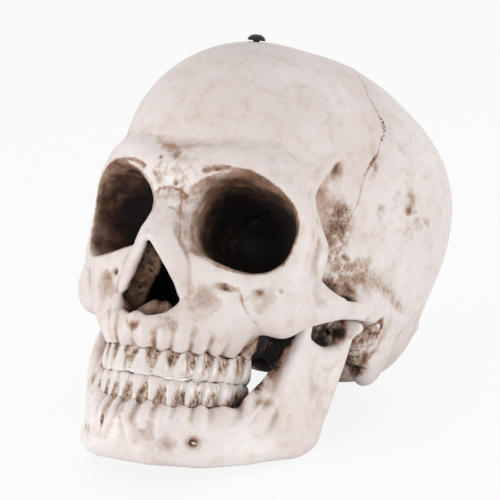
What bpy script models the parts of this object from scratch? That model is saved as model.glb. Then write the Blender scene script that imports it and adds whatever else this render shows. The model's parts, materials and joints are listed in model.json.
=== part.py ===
"""Life-size anatomical skull model: hollow cast cranium, hinged lower jaw, separate teeth, jaw springs.

Places on the bones are in the anatomical frame: x to the skull's left, y to the back and z up, in the
ear-eye plane, with the origin midway between the ear holes. Each bone is a blend of rounded forms, given
as shares of the sizes below. The finished skull is leaned back until the angles of the jaw and the back
of the head stand on the table at z = 0.
"""

import math

import bmesh
import bpy
import numpy as np
from mathutils import Matrix, Vector

MM = 0.001

# Braincase
CRANIAL_BREADTH = 139 * MM
CRANIAL_LENGTH = 179 * MM
VAULT_HEIGHT = 118 * MM
VAULT_WALL = 6 * MM

# Face and jaw: across the orbits' outer rims, ear holes to front teeth, ear-eye plane to under the chin
FACE_BREADTH = 100 * MM
FACE_DEPTH = 100 * MM
FACE_DROP = 100 * MM

# Hollows of the face and base
ORBIT_BREADTH = 43 * MM
ORBIT_HEIGHT = 37 * MM
ORBIT_DEPTH = 44 * MM
NOSE_BREADTH = 28 * MM
NOSE_HEIGHT = 38 * MM
NOSE_DEPTH = 34 * MM
SPINAL_HOLE_BREADTH = 30 * MM
SPINAL_HOLE_LENGTH = 35 * MM
EAR_HOLE_DIAMETER = 6 * MM

# Casting: how widely its forms run together, how finely they are worked out, and the gaps that pieces keep
VAULT_BLEND = 24 * MM
BLEND = 9 * MM
FINE_BLEND = 4 * MM
FORM_VOXEL = 1.4 * MM
SKIN_VOXELS = 6
CRANIUM_FACES = 6200
MANDIBLE_FACES = 2200
CLEARANCE = 0.3 * MM
SEAT_DEPTH = 0.5 * MM
MERGE_DISTANCE = 0.01 * MM

# Dental arch: the curve through the necks of the teeth, and the heights of gum line and biting edge
ARCH_HALF_BREADTH = 27 * MM
ARCH_LENGTH = 48 * MM
ARCH_FRONT = 93.5 * MM
LOWER_ARCH_SETBACK = 4 * MM
ARCH_RISE = 9 * MM
UPPER_CREST = 43.5 * MM
BITE_LEVEL = 54 * MM
LOWER_CREST = 64 * MM
BITE_GAP = 0.5 * MM
TOOTH_GAP = 0.35 * MM
ROOT_LENGTH = 6 * MM
RIDGE_RADIUS = 6.5 * MM
UPPER_RIDGE_DEPTH = 10.5 * MM
LOWER_RIDGE_DEPTH = 8.5 * MM

# Jaw joint
CONDYLE_SPREAD = 51 * MM
CONDYLE_ADVANCE = 12 * MM
CONDYLE_DROP = 8 * MM
CONDYLE_BREADTH = 20 * MM
CONDYLE_THICKNESS = 9.4 * MM
JOINT_CLEARANCE = 0.9 * MM
JAW_OPENING = math.radians(20)

# Screws and springs
CROWN_SCREW_HEAD = 8 * MM
CROWN_SCREW_DOME = 2.6 * MM
CROWN_SCREW_SHANK = 3 * MM
CROWN_SCREW_LENGTH = 8 * MM
SPRING_SCREW_HEAD = 6 * MM
SPRING_SCREW_DOME = 2 * MM
SPRING_SCREW_SHANK = 2.4 * MM
SPRING_SCREW_LENGTH = 7 * MM
SPRING_WIRE = 0.8 * MM
SPRING_DIAMETER = 5 * MM
SPRING_LEAD = 1.5 * MM
SPOT_FACE_DEPTH = 0.8 * MM
SPRING_TURNS = 10
POINTS_PER_TURN = 8
EYE_TURN = math.radians(300)
SCREW_STEPS = 12
DOME_STEPS = 4

# Teeth of one side, midline to back: name, shape, width along the arch, and depth across it
UPPER_TEETH = (
    ("central_incisor", "incisor", 8.6 * MM, 7.4 * MM),
    ("lateral_incisor", "incisor", 6.8 * MM, 6.6 * MM),
    ("canine", "canine", 7.6 * MM, 8.4 * MM),
    ("first_premolar", "premolar", 7.0 * MM, 9.0 * MM),
    ("second_premolar", "premolar", 6.8 * MM, 9.0 * MM),
    ("first_molar", "molar", 10.0 * MM, 10.6 * MM),
    ("second_molar", "molar", 9.4 * MM, 10.6 * MM),
)
LOWER_TEETH = (
    ("central_incisor", "incisor", 5.8 * MM, 6.4 * MM),
    ("lateral_incisor", "incisor", 6.4 * MM, 6.6 * MM),
    ("canine", "canine", 7.0 * MM, 7.8 * MM),
    ("first_premolar", "premolar", 7.1 * MM, 8.2 * MM),
    ("second_premolar", "premolar", 7.2 * MM, 8.6 * MM),
    ("first_molar", "molar", 10.8 * MM, 10.4 * MM),
    ("second_molar", "molar", 10.0 * MM, 10.2 * MM),
)

# The castings of the head, and the sides of the seams that each one stops at
HEAD_PARTS = {
    "frontal_bone": (("cap", -1), ("coronal", 1)),
    "parietal_vault": (("cap", -1), ("coronal", -1)),
    "left_facial_bones": (("cap", 1), ("face back", 1), ("midline", -1)),
    "right_facial_bones": (("cap", 1), ("face back", 1), ("midline", 1)),
    "skull_base": (("cap", 1), ("face back", -1)),
}

# Sections of each shape from edge to neck: share of crown height, half width, half depth, outward lean
TOOTH_SHARES = {
    "incisor": ((0, 0.46, 0.12, 0.22), (0.12, 0.48, 0.2, 0.2), (0.5, 0.41, 0.33, 0.08), (1, 0.27, 0.4, 0)),
    "canine": ((0, 0.16, 0.12, 0.2), (0.18, 0.47, 0.26, 0.17), (0.5, 0.43, 0.4, 0.08), (1, 0.29, 0.42, 0)),
    "premolar": ((0, 0.28, 0.26, 0.08), (0.18, 0.47, 0.42, 0.06), (0.5, 0.43, 0.46, 0.04), (1, 0.29, 0.4, 0)),
    "molar": ((0, 0.38, 0.32, 0.06), (0.15, 0.48, 0.45, 0.05), (0.5, 0.45, 0.48, 0.03), (1, 0.35, 0.42, 0)),
}
ROOT_TIP_SHARES = (0.20, 0.24)
SECTION_POINTS = 8
SECTION_ROUNDNESS = 0.7
CREASE_ANGLE = math.radians(50)

CASE = (CRANIAL_BREADTH / 2, CRANIAL_LENGTH, VAULT_HEIGHT)
FACE = (FACE_BREADTH, FACE_DEPTH, FACE_DROP)
NOSE = (NOSE_BREADTH, NOSE_DEPTH, NOSE_HEIGHT)
CROWN_SCREW_SHARE = -0.30

# Corners of the space in which each bone is modelled, and how far that space stands clear at the sides
CRANIUM_LOW_SHARES = (-1.12, -0.50)
CRANIUM_HIGH_SHARES = (0.54, 1.08)
MANDIBLE_CORNER_SHARES = ((-0.68, -1.06, -1.0), (0.68, 0.02, 0.02))
CHEEK_REACH_SHARE = 0.68
SIDE_ROOM_SHARE = 1.08

# Centre and radii of each rounded form
BRAINCASE_SHARES = (
    ((0, 0.044, 0.400), (0.950, 0.420, 0.605)),
    ((0, -0.225, 0.440), (0.770, 0.300, 0.470)),
    ((0, 0.235, 0.240), (0.780, 0.215, 0.330)),
    ((0.550, 0.120, 0.480), (0.415, 0.240, 0.300)),
    ((0.470, 0.040, 0.110), (0.360, 0.220, 0.220)),
    ((0.290, 0.260, 0.010), (0.400, 0.155, 0.200)),
    ((0.470, -0.190, 0.110), (0.250, 0.110, 0.190)),
    ((0, -0.055, -0.017), (0.420, 0.220, 0.136)),
)
FACE_BLOCK_SHARES = (
    ((0.22, -0.70, -0.14), (0.19, 0.20, 0.23)),
    ((0, -0.66, -0.02), (0.15, 0.27, 0.32)),
    ((0, -0.84, -0.34), (0.17, 0.12, 0.11)),
    ((0, -0.85, 0.35), (0.16, 0.09, 0.09)),
    ((0, -0.70, 0.31), (0.22, 0.20, 0.13)),
    ((0, -0.36, -0.06), (0.17, 0.20, 0.14)),
)
ORBIT_BLOCK_SHARES = ((0.27, -0.60, 0.15), (0.235, 0.32, 0.26))
ORBIT_BLOCK_TURN = (0, 0, math.radians(20))
CHEEK_SHARES = ((0.465, -0.60, -0.13), (0.095, 0.09, 0.13))
BASE_BLOCK_SHARES = (
    ((0.50, -0.12, 0.04), (0.13, 0.13, 0.08)),
    ((0.46, 0.03, -0.06), (0.12, 0.05, 0.09)),
    ((0.50, 0.17, -0.10), (0.085, 0.14, 0.19)),
    ((0.18, 0.07, -0.24), (0.055, 0.11, 0.06)),
)

# Stations of each bar of bone: x, y, z and radius
ORBIT_RIM_SHARES = (
    (0.09, -0.90, 0.29, 0.04), (0.17, -0.90, 0.34, 0.045), (0.27, -0.88, 0.37, 0.042),
    (0.37, -0.83, 0.365, 0.042), (0.45, -0.75, 0.32, 0.043), (0.50, -0.67, 0.24, 0.04),
    (0.51, -0.635, 0.14, 0.035), (0.50, -0.645, 0.04, 0.04), (0.45, -0.70, -0.035, 0.045),
    (0.36, -0.77, -0.07, 0.045), (0.25, -0.83, -0.055, 0.04), (0.15, -0.86, 0.02, 0.035),
)
CHEEK_PROCESS_SHARES = (
    (0.485, -0.63, 0.30, 0.04), (0.53, -0.51, 0.16, 0.036), (0.525, -0.52, 0.04, 0.042),
    (0.49, -0.58, -0.08, 0.06),
)
SPRING_BOSS_SHARES = ((0.39, -0.22, -0.10, 0.048), (0.39, -0.24, -0.205, 0.044))
BROW_SHARES = (
    (0.04, -0.925, 0.36, 0.05), (0.16, -0.915, 0.40, 0.045), (0.28, -0.87, 0.43, 0.045),
    (0.38, -0.78, 0.43, 0.050), (0.455, -0.67, 0.385, 0.045), (0.45, -0.57, 0.45, 0.045),
)
NASAL_SHARES = (
    (0, -0.88, 0.30, 0.045), (0, -0.91, 0.20, 0.038), (0, -0.965, 0.12, 0.042), (0, -1.0, 0.07, 0.042),
)
NASAL_WALL_SHARES = ((0.03, -0.885, 0.26, 0.035), (0.05, -0.90, 0.15, 0.035), (0.065, -0.93, 0.08, 0.035))
NOSE_SIDE_SHARES = (
    (0.075, -0.87, 0.28, 0.035), (0.07, -0.865, 0.20, 0.035), (0.105, -0.875, 0.10, 0.04),
    (0.15, -0.875, 0, 0.04), (0.18, -0.86, -0.12, 0.045), (0.18, -0.85, -0.24, 0.055),
)
CHEEK_ROOT_SHARES = ((0.30, -0.70, -0.19, 0.075), (0.45, -0.61, -0.14, 0.085))
ARCH_SHARES = (
    (0.50, -0.60, -0.15, 0.045), (0.58, -0.50, -0.11, 0.034), (0.63, -0.38, -0.06, 0.028),
    (0.63, -0.24, -0.03, 0.027), (0.60, -0.10, 0, 0.034), (0.585, 0.06, 0.02, 0.036),
)
ARCH_DEEPENING_SHARES = (1, 1, 0.62)
TEMPLE_WALL_SHARES = ((0.48, -0.62, 0.09, 0.04), (0.39, -0.50, 0.08, 0.06), (0.30, -0.40, 0.08, 0.07))
TEMPLE_WALL_DEEPENING_SHARES = (1, 1, 0.4)
EMINENCE_SHARES = ((0.40, -0.23, -0.02, 0.05), (0.58, -0.22, -0.01, 0.05))
BASILAR_SHARES = ((0, -0.28, -0.12, 0.11), (0, -0.08, -0.19, 0.08))
PETROUS_SHARES = ((0.48, 0.04, -0.06, 0.09), (0.16, -0.18, -0.14, 0.07))
PTERYGOID_SHARES = ((0.15, -0.40, -0.14, 0.05), (0.155, -0.40, -0.24, 0.04), (0.175, -0.37, -0.32, 0.03))
NUCHAL_SHARES = ((0.46, 0.50, 0.02, 0.05), (0.22, 0.70, 0.05, 0.05), (0, 0.755, 0.05, 0.05))
UPPER_RIDGE_DEEPENING_SHARES = (1, 1, 0.62)

# Hollows: the orbit's mouth and splay, its inner corner, the nose, the palate, and the holes of the base
ORBIT_MOUTH_SHARES = (0.30, -0.80, 0.155)
ORBIT_SPLAY = (0, math.radians(12), math.radians(22))
ORBIT_SQUARENESS = 2.5
ORBIT_CORNER_SHARES = ((0.155, -0.945, 0.22, 0.05), (0.145, -0.94, 0.15, 0.056), (0.165, -0.92, 0.05, 0.05))
NOSE_LOW_SHARES = ((0.045, -0.90, -0.175), (0.34, 1, 0.32))
NOSE_HIGH_SHARES = ((0, -0.93, -0.06), (0.25, 1, 0.34))
LIP_HOLLOW_SHARES = ((0.28, -0.98, -0.17), (0.09, 0.13, 0.09))
PALATE_SHARES = ((0, -0.64, -0.44), (0.19, 0.26, 0.105))
SPINAL_HOLE_SHARES = (0, 0.14, -0.22)
SPINAL_HOLE_DEPTH_SHARE = 0.30
SEAM_PLACE_SHARES = {
    "cap": ((0, -0.97, 0.44), (0, 0.86, 0.34)),
    "coronal": ((0, -0.02, 1.13), (0, -0.37, 0.42)),
    "face back": ((0, -0.42, 0), (0, -0.42, -1)),
    "midline": ((0, 0, 0), (0, 0, 1)),
}
EAR_HOLE_SHARES = ((0.46, 0.01, -0.04), (0.80, 0.01, -0.03))

# Lower jaw
JAW_BODY_SHARES = (
    (0, -0.85, -0.755, 0.056), (0.12, -0.83, -0.755, 0.054), (0.22, -0.75, -0.74, 0.052),
    (0.30, -0.64, -0.71, 0.052), (0.38, -0.51, -0.66, 0.052), (0.45, -0.38, -0.61, 0.05),
    (0.49, -0.27, -0.57, 0.045),
)
JAW_RIM_SHARES = (
    (0, -0.855, -0.835, 0.05), (0.12, -0.84, -0.835, 0.048), (0.26, -0.71, -0.81, 0.047),
    (0.39, -0.52, -0.75, 0.043), (0.47, -0.34, -0.67, 0.04), (0.50, -0.23, -0.61, 0.038),
)
RAMUS_BACK_SHARES = (
    (0.50, -0.22, -0.60, 0.04), (0.505, -0.17, -0.45, 0.04), (0.505, -0.13, -0.28, 0.04),
    (0.51, -0.115, -0.15, 0.045),
)
RAMUS_FRONT_SHARES = (
    (0.395, -0.53, -0.64, 0.04), (0.445, -0.475, -0.50, 0.042), (0.465, -0.435, -0.32, 0.038),
    (0.475, -0.405, -0.15, 0.03), (0.475, -0.39, -0.08, 0.024),
)
JAW_NOTCH_SHARES = (
    (0.475, -0.38, -0.29, 0.036), (0.485, -0.30, -0.28, 0.038), (0.50, -0.20, -0.235, 0.04),
    (0.508, -0.14, -0.20, 0.04),
)
CHIN_SHARES = ((0, -0.875, -0.80), (0.11, 0.06, 0.075))
CHIN_CORNER_SHARES = ((0.12, -0.86, -0.835), (0.055, 0.05, 0.05))
RAMUS_SHARES = ((0.485, -0.325, -0.44), (0.052, 0.19, 0.245))
JAW_ANGLE_SHARES = ((0.50, -0.26, -0.58), (0.046, 0.10, 0.08))
JAW_SPRING_BOSS_SHARES = ((0.48, -0.33, -0.45, 0.045), (0.44, -0.33, -0.45, 0.044))
JAW_BODY_DEEPENING_SHARES = (1, 1, 0.42)
LOWER_RIDGE_DEEPENING_SHARES = (1, 1, 0.75)


def scaled(shares, sizes):
    """A place or a set of radii, from its shares of three sizes."""
    return tuple(share * size for share, size in zip(shares, sizes))


def stations(shares, sizes):
    """The places and radii along a bar of bone."""
    return [(scaled(station[:3], sizes), station[3] * sizes[0]) for station in shares]


class Fields:
    """Distances from forms' surfaces, as node sockets: negative inside a form, mirrored across x = 0."""

    def __init__(self, tree):
        self.tree = tree
        split = tree.nodes.new("ShaderNodeSeparateXYZ")
        join = tree.nodes.new("ShaderNodeCombineXYZ")
        self.set(split.inputs[0], tree.nodes.new("GeometryNodeInputPosition").outputs[0])
        self.x, self.y, self.z = split.outputs
        self.set(join.inputs[0], self.number("ABSOLUTE", self.x))
        self.set(join.inputs[1], self.y)
        self.set(join.inputs[2], self.z)
        self.place = join.outputs[0]

    def set(self, socket, value):
        if isinstance(value, bpy.types.NodeSocket):
            self.tree.links.new(value, socket)
        else:
            socket.default_value = value

    def number(self, operation, *values, clamp=False):
        node = self.tree.nodes.new("ShaderNodeMath")
        node.operation = operation
        node.use_clamp = clamp
        for socket, value in zip(node.inputs, values):
            self.set(socket, value)
        return node.outputs[0]

    def vector(self, operation, *values):
        node = self.tree.nodes.new("ShaderNodeVectorMath")
        node.operation = operation
        for socket, value in zip(node.inputs, values):
            self.set(socket, value)
        return node.outputs["Value" if operation in ("LENGTH", "DOT_PRODUCT") else "Vector"]

    def turned(self, place, angles):
        node = self.tree.nodes.new("ShaderNodeVectorRotate")
        node.rotation_type = "EULER_XYZ"
        node.invert = True
        self.set(node.inputs["Vector"], place)
        self.set(node.inputs["Rotation"], angles)
        return node.outputs[0]

    def ellipsoid(self, centre, radii, angles=None):
        place = self.vector("SUBTRACT", self.place, centre)
        if angles:
            place = self.turned(place, angles)
        reach = self.vector("LENGTH", self.vector("DIVIDE", place, radii))
        return self.number("MULTIPLY", self.number("SUBTRACT", reach, 1), min(radii))

    def socket(self, centre, radii, angles, squareness):
        """A round-bottomed hollow that runs straight out of its mouth along -y, with a squarish section."""
        place = self.turned(self.vector("SUBTRACT", self.place, centre), angles)
        split = self.tree.nodes.new("ShaderNodeSeparateXYZ")
        self.set(split.inputs[0], self.vector("DIVIDE", place, radii))
        across = self.number("POWER", self.number("ABSOLUTE", split.outputs[0]), squareness)
        upward = self.number("POWER", self.number("ABSOLUTE", split.outputs[2]), squareness)
        inward = self.number("POWER", self.number("MAXIMUM", split.outputs[1], 0), 2)
        section = self.number("POWER", self.number("ADD", across, upward), 2 / squareness)
        reach = self.number("POWER", self.number("ADD", section, inward), 0.5)
        return self.number("MULTIPLY", self.number("SUBTRACT", reach, 1), min(radii))

    def bar(self, places, flatten=(1, 1, 1)):
        """A bar through places of given radius. A share under 1 along an axis stretches it there."""
        here = self.vector("MULTIPLY", self.place, flatten)
        runs = []
        for (start, start_radius), (end, end_radius) in zip(places, places[1:]):
            start = Vector(scaled(start, flatten))
            span = Vector(scaled(end, flatten)) - start
            offset = self.vector("SUBTRACT", here, start)
            along = self.vector("DOT_PRODUCT", offset, span / span.length_squared)
            along = self.number("ADD", along, 0, clamp=True)
            beside = self.vector("LENGTH", self.vector("MULTIPLY_ADD", along, -span, offset))
            radius = self.number("MULTIPLY_ADD", along, end_radius - start_radius, start_radius)
            runs.append(self.number("SUBTRACT", beside, radius))
        whole = runs[0]
        for run in runs[1:]:
            whole = self.number("MINIMUM", whole, run)
        return whole

    def blend(self, forms, width):
        whole = forms[0]
        for form in forms[1:]:
            whole = self.number("SMOOTH_MIN", whole, form, width)
        return whole

    def carve(self, body, hollow, width):
        return self.number("SMOOTH_MAX", body, self.number("MULTIPLY", hollow, -1), width)


def braincase(fields):
    forms = []
    for centre, radii in BRAINCASE_SHARES:
        forms.append(fields.ellipsoid(scaled(centre, CASE), scaled(radii, CASE)))
    return fields.blend(forms, VAULT_BLEND)


def face_bar(fields, shares, flatten=(1, 1, 1)):
    return fields.bar(stations(shares, FACE), flatten)


def face_block(fields, shares, angles=None):
    centre, radii = shares
    return fields.ellipsoid(scaled(centre, FACE), scaled(radii, FACE), angles)


def arch_places(samples, level, setback):
    """Places along half of a dental arch, from the midline to its end, rising towards the back."""
    places = []
    for share in np.linspace(0, 1, samples):
        angle = share * math.pi / 2
        back = 1 - math.cos(angle)
        places.append((
            ARCH_HALF_BREADTH * math.sin(angle),
            -ARCH_FRONT + setback + (ARCH_LENGTH - setback) * back,
            -level + ARCH_RISE * back,
        ))
    return places


def tooth_ridge(fields, level, setback, deepening):
    """The ridge of bone that holds a row of teeth."""
    places = [(place, RIDGE_RADIUS) for place in arch_places(7, level, setback)]
    return fields.bar(places, deepening)


def condyle(fields, gap):
    centre = (CONDYLE_SPREAD, -CONDYLE_ADVANCE, -CONDYLE_DROP)
    radii = (CONDYLE_BREADTH / 2 + gap, CONDYLE_THICKNESS / 2 + gap, CONDYLE_THICKNESS / 2 + gap)
    return fields.ellipsoid(centre, radii)


def swung_ramus(fields):
    """The space that the neck of the open jaw swings back into."""
    centre = Vector((0, -CONDYLE_ADVANCE, -CONDYLE_DROP))
    turn = Matrix.Rotation(JAW_OPENING, 3, "X")
    gap = JOINT_CLEARANCE + FINE_BLEND / 4
    neck = stations(RAMUS_BACK_SHARES[-2:], FACE)
    return fields.bar([(centre + turn @ (Vector(place) - centre), radius + gap) for place, radius in neck])


def cranium_form(fields):
    case = braincase(fields)
    shell = fields.carve(case, fields.number("ADD", case, VAULT_WALL), FINE_BLEND)
    blocks = [face_block(fields, shares) for shares in FACE_BLOCK_SHARES]
    blocks.append(face_block(fields, ORBIT_BLOCK_SHARES, ORBIT_BLOCK_TURN))
    blocks.append(face_bar(fields, NASAL_SHARES))
    blocks.append(face_bar(fields, NASAL_WALL_SHARES))
    blocks.append(face_bar(fields, NOSE_SIDE_SHARES))
    blocks.append(face_bar(fields, CHEEK_ROOT_SHARES))
    blocks.append(face_bar(fields, BROW_SHARES))
    blocks.append(face_bar(fields, TEMPLE_WALL_SHARES, TEMPLE_WALL_DEEPENING_SHARES))
    blocks.append(tooth_ridge(fields, UPPER_CREST - UPPER_RIDGE_DEPTH, 0, UPPER_RIDGE_DEEPENING_SHARES))
    body = fields.blend([shell] + blocks, BLEND)
    body = fields.carve(body, face_block(fields, LIP_HOLLOW_SHARES), BLEND)
    rims = [
        face_block(fields, CHEEK_SHARES),
        face_bar(fields, ORBIT_RIM_SHARES),
        face_bar(fields, CHEEK_PROCESS_SHARES),
        face_bar(fields, EMINENCE_SHARES),
        face_bar(fields, BASILAR_SHARES),
        face_bar(fields, PETROUS_SHARES),
        face_bar(fields, NUCHAL_SHARES),
        face_bar(fields, SPRING_BOSS_SHARES),
    ]
    rims += [face_block(fields, shares) for shares in BASE_BLOCK_SHARES]
    body = fields.blend([body] + rims, BLEND)

    orbit = fields.socket(
        scaled(ORBIT_MOUTH_SHARES, FACE),
        (ORBIT_BREADTH / 2, ORBIT_DEPTH, ORBIT_HEIGHT / 2),
        ORBIT_SPLAY,
        ORBIT_SQUARENESS,
    )
    orbit = fields.blend([orbit, face_bar(fields, ORBIT_CORNER_SHARES)], FINE_BLEND)
    body = fields.carve(body, orbit, FINE_BLEND)
    nose = [
        fields.ellipsoid(scaled(centre, FACE), scaled(radii, NOSE))
        for centre, radii in (NOSE_LOW_SHARES, NOSE_HIGH_SHARES)
    ]
    body = fields.carve(body, fields.blend(nose, BLEND), FINE_BLEND / 2)
    body = fields.carve(body, face_block(fields, PALATE_SHARES), FINE_BLEND)

    body = fields.blend([body, face_bar(fields, ARCH_SHARES, ARCH_DEEPENING_SHARES)], FINE_BLEND)
    body = fields.blend([body, face_bar(fields, PTERYGOID_SHARES)], FINE_BLEND)
    spinal_hole = fields.ellipsoid(
        scaled(SPINAL_HOLE_SHARES, FACE),
        (SPINAL_HOLE_BREADTH / 2, SPINAL_HOLE_LENGTH / 2, SPINAL_HOLE_DEPTH_SHARE * FACE_DROP),
    )
    ear_hole = fields.bar([(scaled(place, FACE), EAR_HOLE_DIAMETER / 2) for place in EAR_HOLE_SHARES])
    for hole in (spinal_hole, ear_hole):
        body = fields.carve(body, hole, FINE_BLEND)
    for moving in (condyle(fields, JOINT_CLEARANCE), swung_ramus(fields)):
        body = fields.carve(body, moving, FINE_BLEND / 4)
    return body


def mandible_form(fields):
    ridge_level = LOWER_CREST + LOWER_RIDGE_DEPTH
    forms = [
        face_bar(fields, JAW_BODY_SHARES, JAW_BODY_DEEPENING_SHARES),
        face_bar(fields, JAW_RIM_SHARES),
        tooth_ridge(fields, ridge_level, LOWER_ARCH_SETBACK, LOWER_RIDGE_DEEPENING_SHARES),
        face_block(fields, CHIN_SHARES),
        face_block(fields, CHIN_CORNER_SHARES),
        face_bar(fields, RAMUS_BACK_SHARES),
        face_bar(fields, RAMUS_FRONT_SHARES),
        face_bar(fields, JAW_NOTCH_SHARES),
        face_block(fields, RAMUS_SHARES),
        face_block(fields, JAW_ANGLE_SHARES),
        condyle(fields, 0),
        face_bar(fields, JAW_SPRING_BOSS_SHARES),
    ]
    return fields.blend(forms, FINE_BLEND)


def form_tree(name, make_form, low, high):
    """A node group that turns a field of distances into a closed surface."""
    tree = bpy.data.node_groups.new(name, "GeometryNodeTree")
    tree.interface.new_socket("Geometry", in_out="OUTPUT", socket_type="NodeSocketGeometry")
    fields = Fields(tree)
    depth = fields.number("DIVIDE", make_form(fields), SKIN_VOXELS * FORM_VOXEL)
    density = fields.number("SUBTRACT", 0.5, depth, clamp=True)
    cube = tree.nodes.new("GeometryNodeVolumeCube")
    fields.set(cube.inputs["Density"], density)
    fields.set(cube.inputs["Min"], low)
    fields.set(cube.inputs["Max"], high)
    for axis, near, far in zip("XYZ", low, high):
        fields.set(cube.inputs[f"Resolution {axis}"], round((far - near) / FORM_VOXEL))
    surface = tree.nodes.new("GeometryNodeVolumeToMesh")
    fields.set(surface.inputs["Threshold"], 0.5)
    fields.set(surface.inputs["Volume"], cube.outputs[0])
    output = tree.nodes.new("NodeGroupOutput")
    fields.set(output.inputs[0], surface.outputs[0])
    return tree


def evaluated_mesh(obj):
    """The object's mesh as its modifiers leave it."""
    graph = bpy.context.evaluated_depsgraph_get()
    graph.update()
    return bpy.data.meshes.new_from_object(obj.evaluated_get(graph))


def keep_largest_piece(mesh):
    """Drop the crumbs that a carved form leaves behind."""
    body = bmesh.new()
    body.from_mesh(mesh)
    unseen = set(body.verts)
    largest = set()
    while unseen:
        front = [unseen.pop()]
        piece = set(front)
        while front:
            vert = front.pop()
            for edge in vert.link_edges:
                other = edge.other_vert(vert)
                if other in unseen:
                    unseen.discard(other)
                    piece.add(other)
                    front.append(other)
        if len(piece) > len(largest):
            largest = piece
    bmesh.ops.delete(body, geom=[vert for vert in body.verts if vert not in largest], context="VERTS")
    body.to_mesh(mesh)
    body.free()


def cast_bone(name, make_form, box, faces, collection, material):
    """One bone, modelled finely from its forms and then thinned to a number of faces."""
    host = bpy.data.objects.new(name, bpy.data.meshes.new(name))
    collection.objects.link(host)
    grow = host.modifiers.new("forms", "NODES")
    grow.node_group = form_tree(name, make_form, *box)
    mesh = evaluated_mesh(host)
    host.modifiers.remove(grow)
    keep_largest_piece(mesh)
    host.data = mesh
    thin = host.modifiers.new("thin", "DECIMATE")
    thin.ratio = faces / (2 * len(mesh.polygons))
    thin.use_collapse_triangulate = True
    host.data = evaluated_mesh(host)
    host.modifiers.remove(thin)
    host.data.name = name
    host.data.materials.clear()
    host.data.materials.append(material)
    host.data.shade_smooth()
    return host


def add_material(name, colour, roughness, metallic=0.0):
    material = bpy.data.materials.new(name)
    material.use_nodes = True
    shader = material.node_tree.nodes["Principled BSDF"]
    shader.inputs["Base Color"].default_value = (*colour, 1)
    shader.inputs["Roughness"].default_value = roughness
    shader.inputs["Metallic"].default_value = metallic
    return material


def add_object(name, mesh, collection, material):
    obj = bpy.data.objects.new(name, mesh)
    collection.objects.link(obj)
    if material:
        mesh.materials.append(material)
    return obj


def tooth_sites(teeth, crest, setback):
    """For each tooth of a row: its edge's place, its neck's place, and the direction of the arch there."""
    curve = np.array(arch_places(200, BITE_LEVEL, setback))
    steps = np.linalg.norm(np.diff(curve[:, :2], axis=0), axis=1)
    run = np.concatenate(([0], np.cumsum(steps)))
    sites = []
    reached = TOOTH_GAP / 2
    for _, _, width, _ in teeth:
        middle = reached + width / 2
        edge = Vector([np.interp(middle, run, curve[:, axis]) for axis in range(3)])
        ahead = Vector([np.interp(middle + width / 4, run, curve[:, axis]) for axis in range(3)])
        along = Vector((ahead.x - edge.x, ahead.y - edge.y, 0)).normalized()
        neck = edge + Vector((0, 0, BITE_LEVEL - crest))
        sites.append((edge, neck, along))
        reached += width + TOOTH_GAP
    return sites


def loft(rings):
    """A closed body through rings of places, alike in number."""
    body = bmesh.new()
    loops = [[body.verts.new(place) for place in ring] for ring in rings]
    for lower, upper in zip(loops, loops[1:]):
        for index in range(len(lower)):
            after = (index + 1) % len(lower)
            body.faces.new((lower[index], lower[after], upper[after], upper[index]))
    body.faces.new(loops[0])
    body.faces.new(loops[-1])
    bmesh.ops.recalc_face_normals(body, faces=body.faces)
    mesh = bpy.data.meshes.new("loft")
    body.to_mesh(mesh)
    body.free()
    return mesh


def squared(swing):
    """A sine or cosine, pushed outwards to square off a round section."""
    return math.copysign(abs(swing) ** SECTION_ROUNDNESS, swing)


def tooth_rings(shape, width, depth, edge, neck, along, grow=0.0, first=0):
    """Rings from the biting edge, through the neck, to the tip of the root."""
    rootward = (neck - edge).normalized()
    height = (neck - edge).length
    outward = along.cross(Vector((0, 0, 1)))
    sections = [
        (share * height, half_width * width, half_depth * depth, lean * depth)
        for share, half_width, half_depth, lean in TOOTH_SHARES[shape]
    ]
    tip_width, tip_depth = ROOT_TIP_SHARES
    sections.append((height + ROOT_LENGTH + grow, tip_width * width, tip_depth * depth, 0))
    rings = []
    for down, half_width, half_depth, lean in sections[first:]:
        centre = edge + rootward * down + outward * lean
        ring = []
        for index in range(SECTION_POINTS):
            angle = (index + 0.5) * 2 * math.pi / SECTION_POINTS
            across = squared(math.cos(angle)) * (half_width + grow)
            through = squared(math.sin(angle)) * (half_depth + grow)
            ring.append(centre + along * across + outward * through)
        rings.append(ring)
    return rings


def mirrored(places):
    return [Vector((-place.x, place.y, place.z)) for place in places]


def set_teeth(jaw, model, sockets, material):
    """A row of teeth, and the cutters for their sockets. The biting edges stop half the bite gap short."""
    teeth, crest, setback, rise = {
        "upper": (UPPER_TEETH, UPPER_CREST, 0, BITE_GAP / 2),
        "lower": (LOWER_TEETH, LOWER_CREST, LOWER_ARCH_SETBACK, -BITE_GAP / 2),
    }[jaw]
    made = []
    sites = tooth_sites(teeth, crest, setback)
    for (name, shape, width, depth), (edge, neck, along) in zip(teeth, sites):
        edge = edge + Vector((0, 0, rise))
        rings = tooth_rings(shape, width, depth, edge, neck, along)
        holes = tooth_rings(shape, width, depth, edge, neck, along, CLEARANCE, 2)
        for side in ("left", "right"):
            if side == "right":
                rings = [mirrored(ring) for ring in rings]
                holes = [mirrored(ring) for ring in holes]
            tooth = add_object(f"{jaw}_{side}_{name}", loft(rings), model, material)
            tooth.data.shade_smooth()
            tooth.data.set_sharp_from_angle(angle=CREASE_ANGLE)
            hide_helper(add_object(f"{tooth.name}_socket", loft(holes), sockets, None))
            made.append(tooth)
    return made


def hide_helper(obj):
    obj.hide_render = True
    obj.display_type = "WIRE"


def cut_each(obj, collection):
    """Cut everything in a collection out of an object."""
    cut = obj.modifiers.new(collection.name, "BOOLEAN")
    cut.operand_type = "COLLECTION"
    cut.collection = collection
    cut.solver = "EXACT"


def standing_on(place, direction):
    """A matrix that puts a piece's origin at a place and its +z along a direction."""
    return Matrix.Translation(place) @ direction.to_track_quat("Z", "Y").to_matrix().to_4x4()


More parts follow.
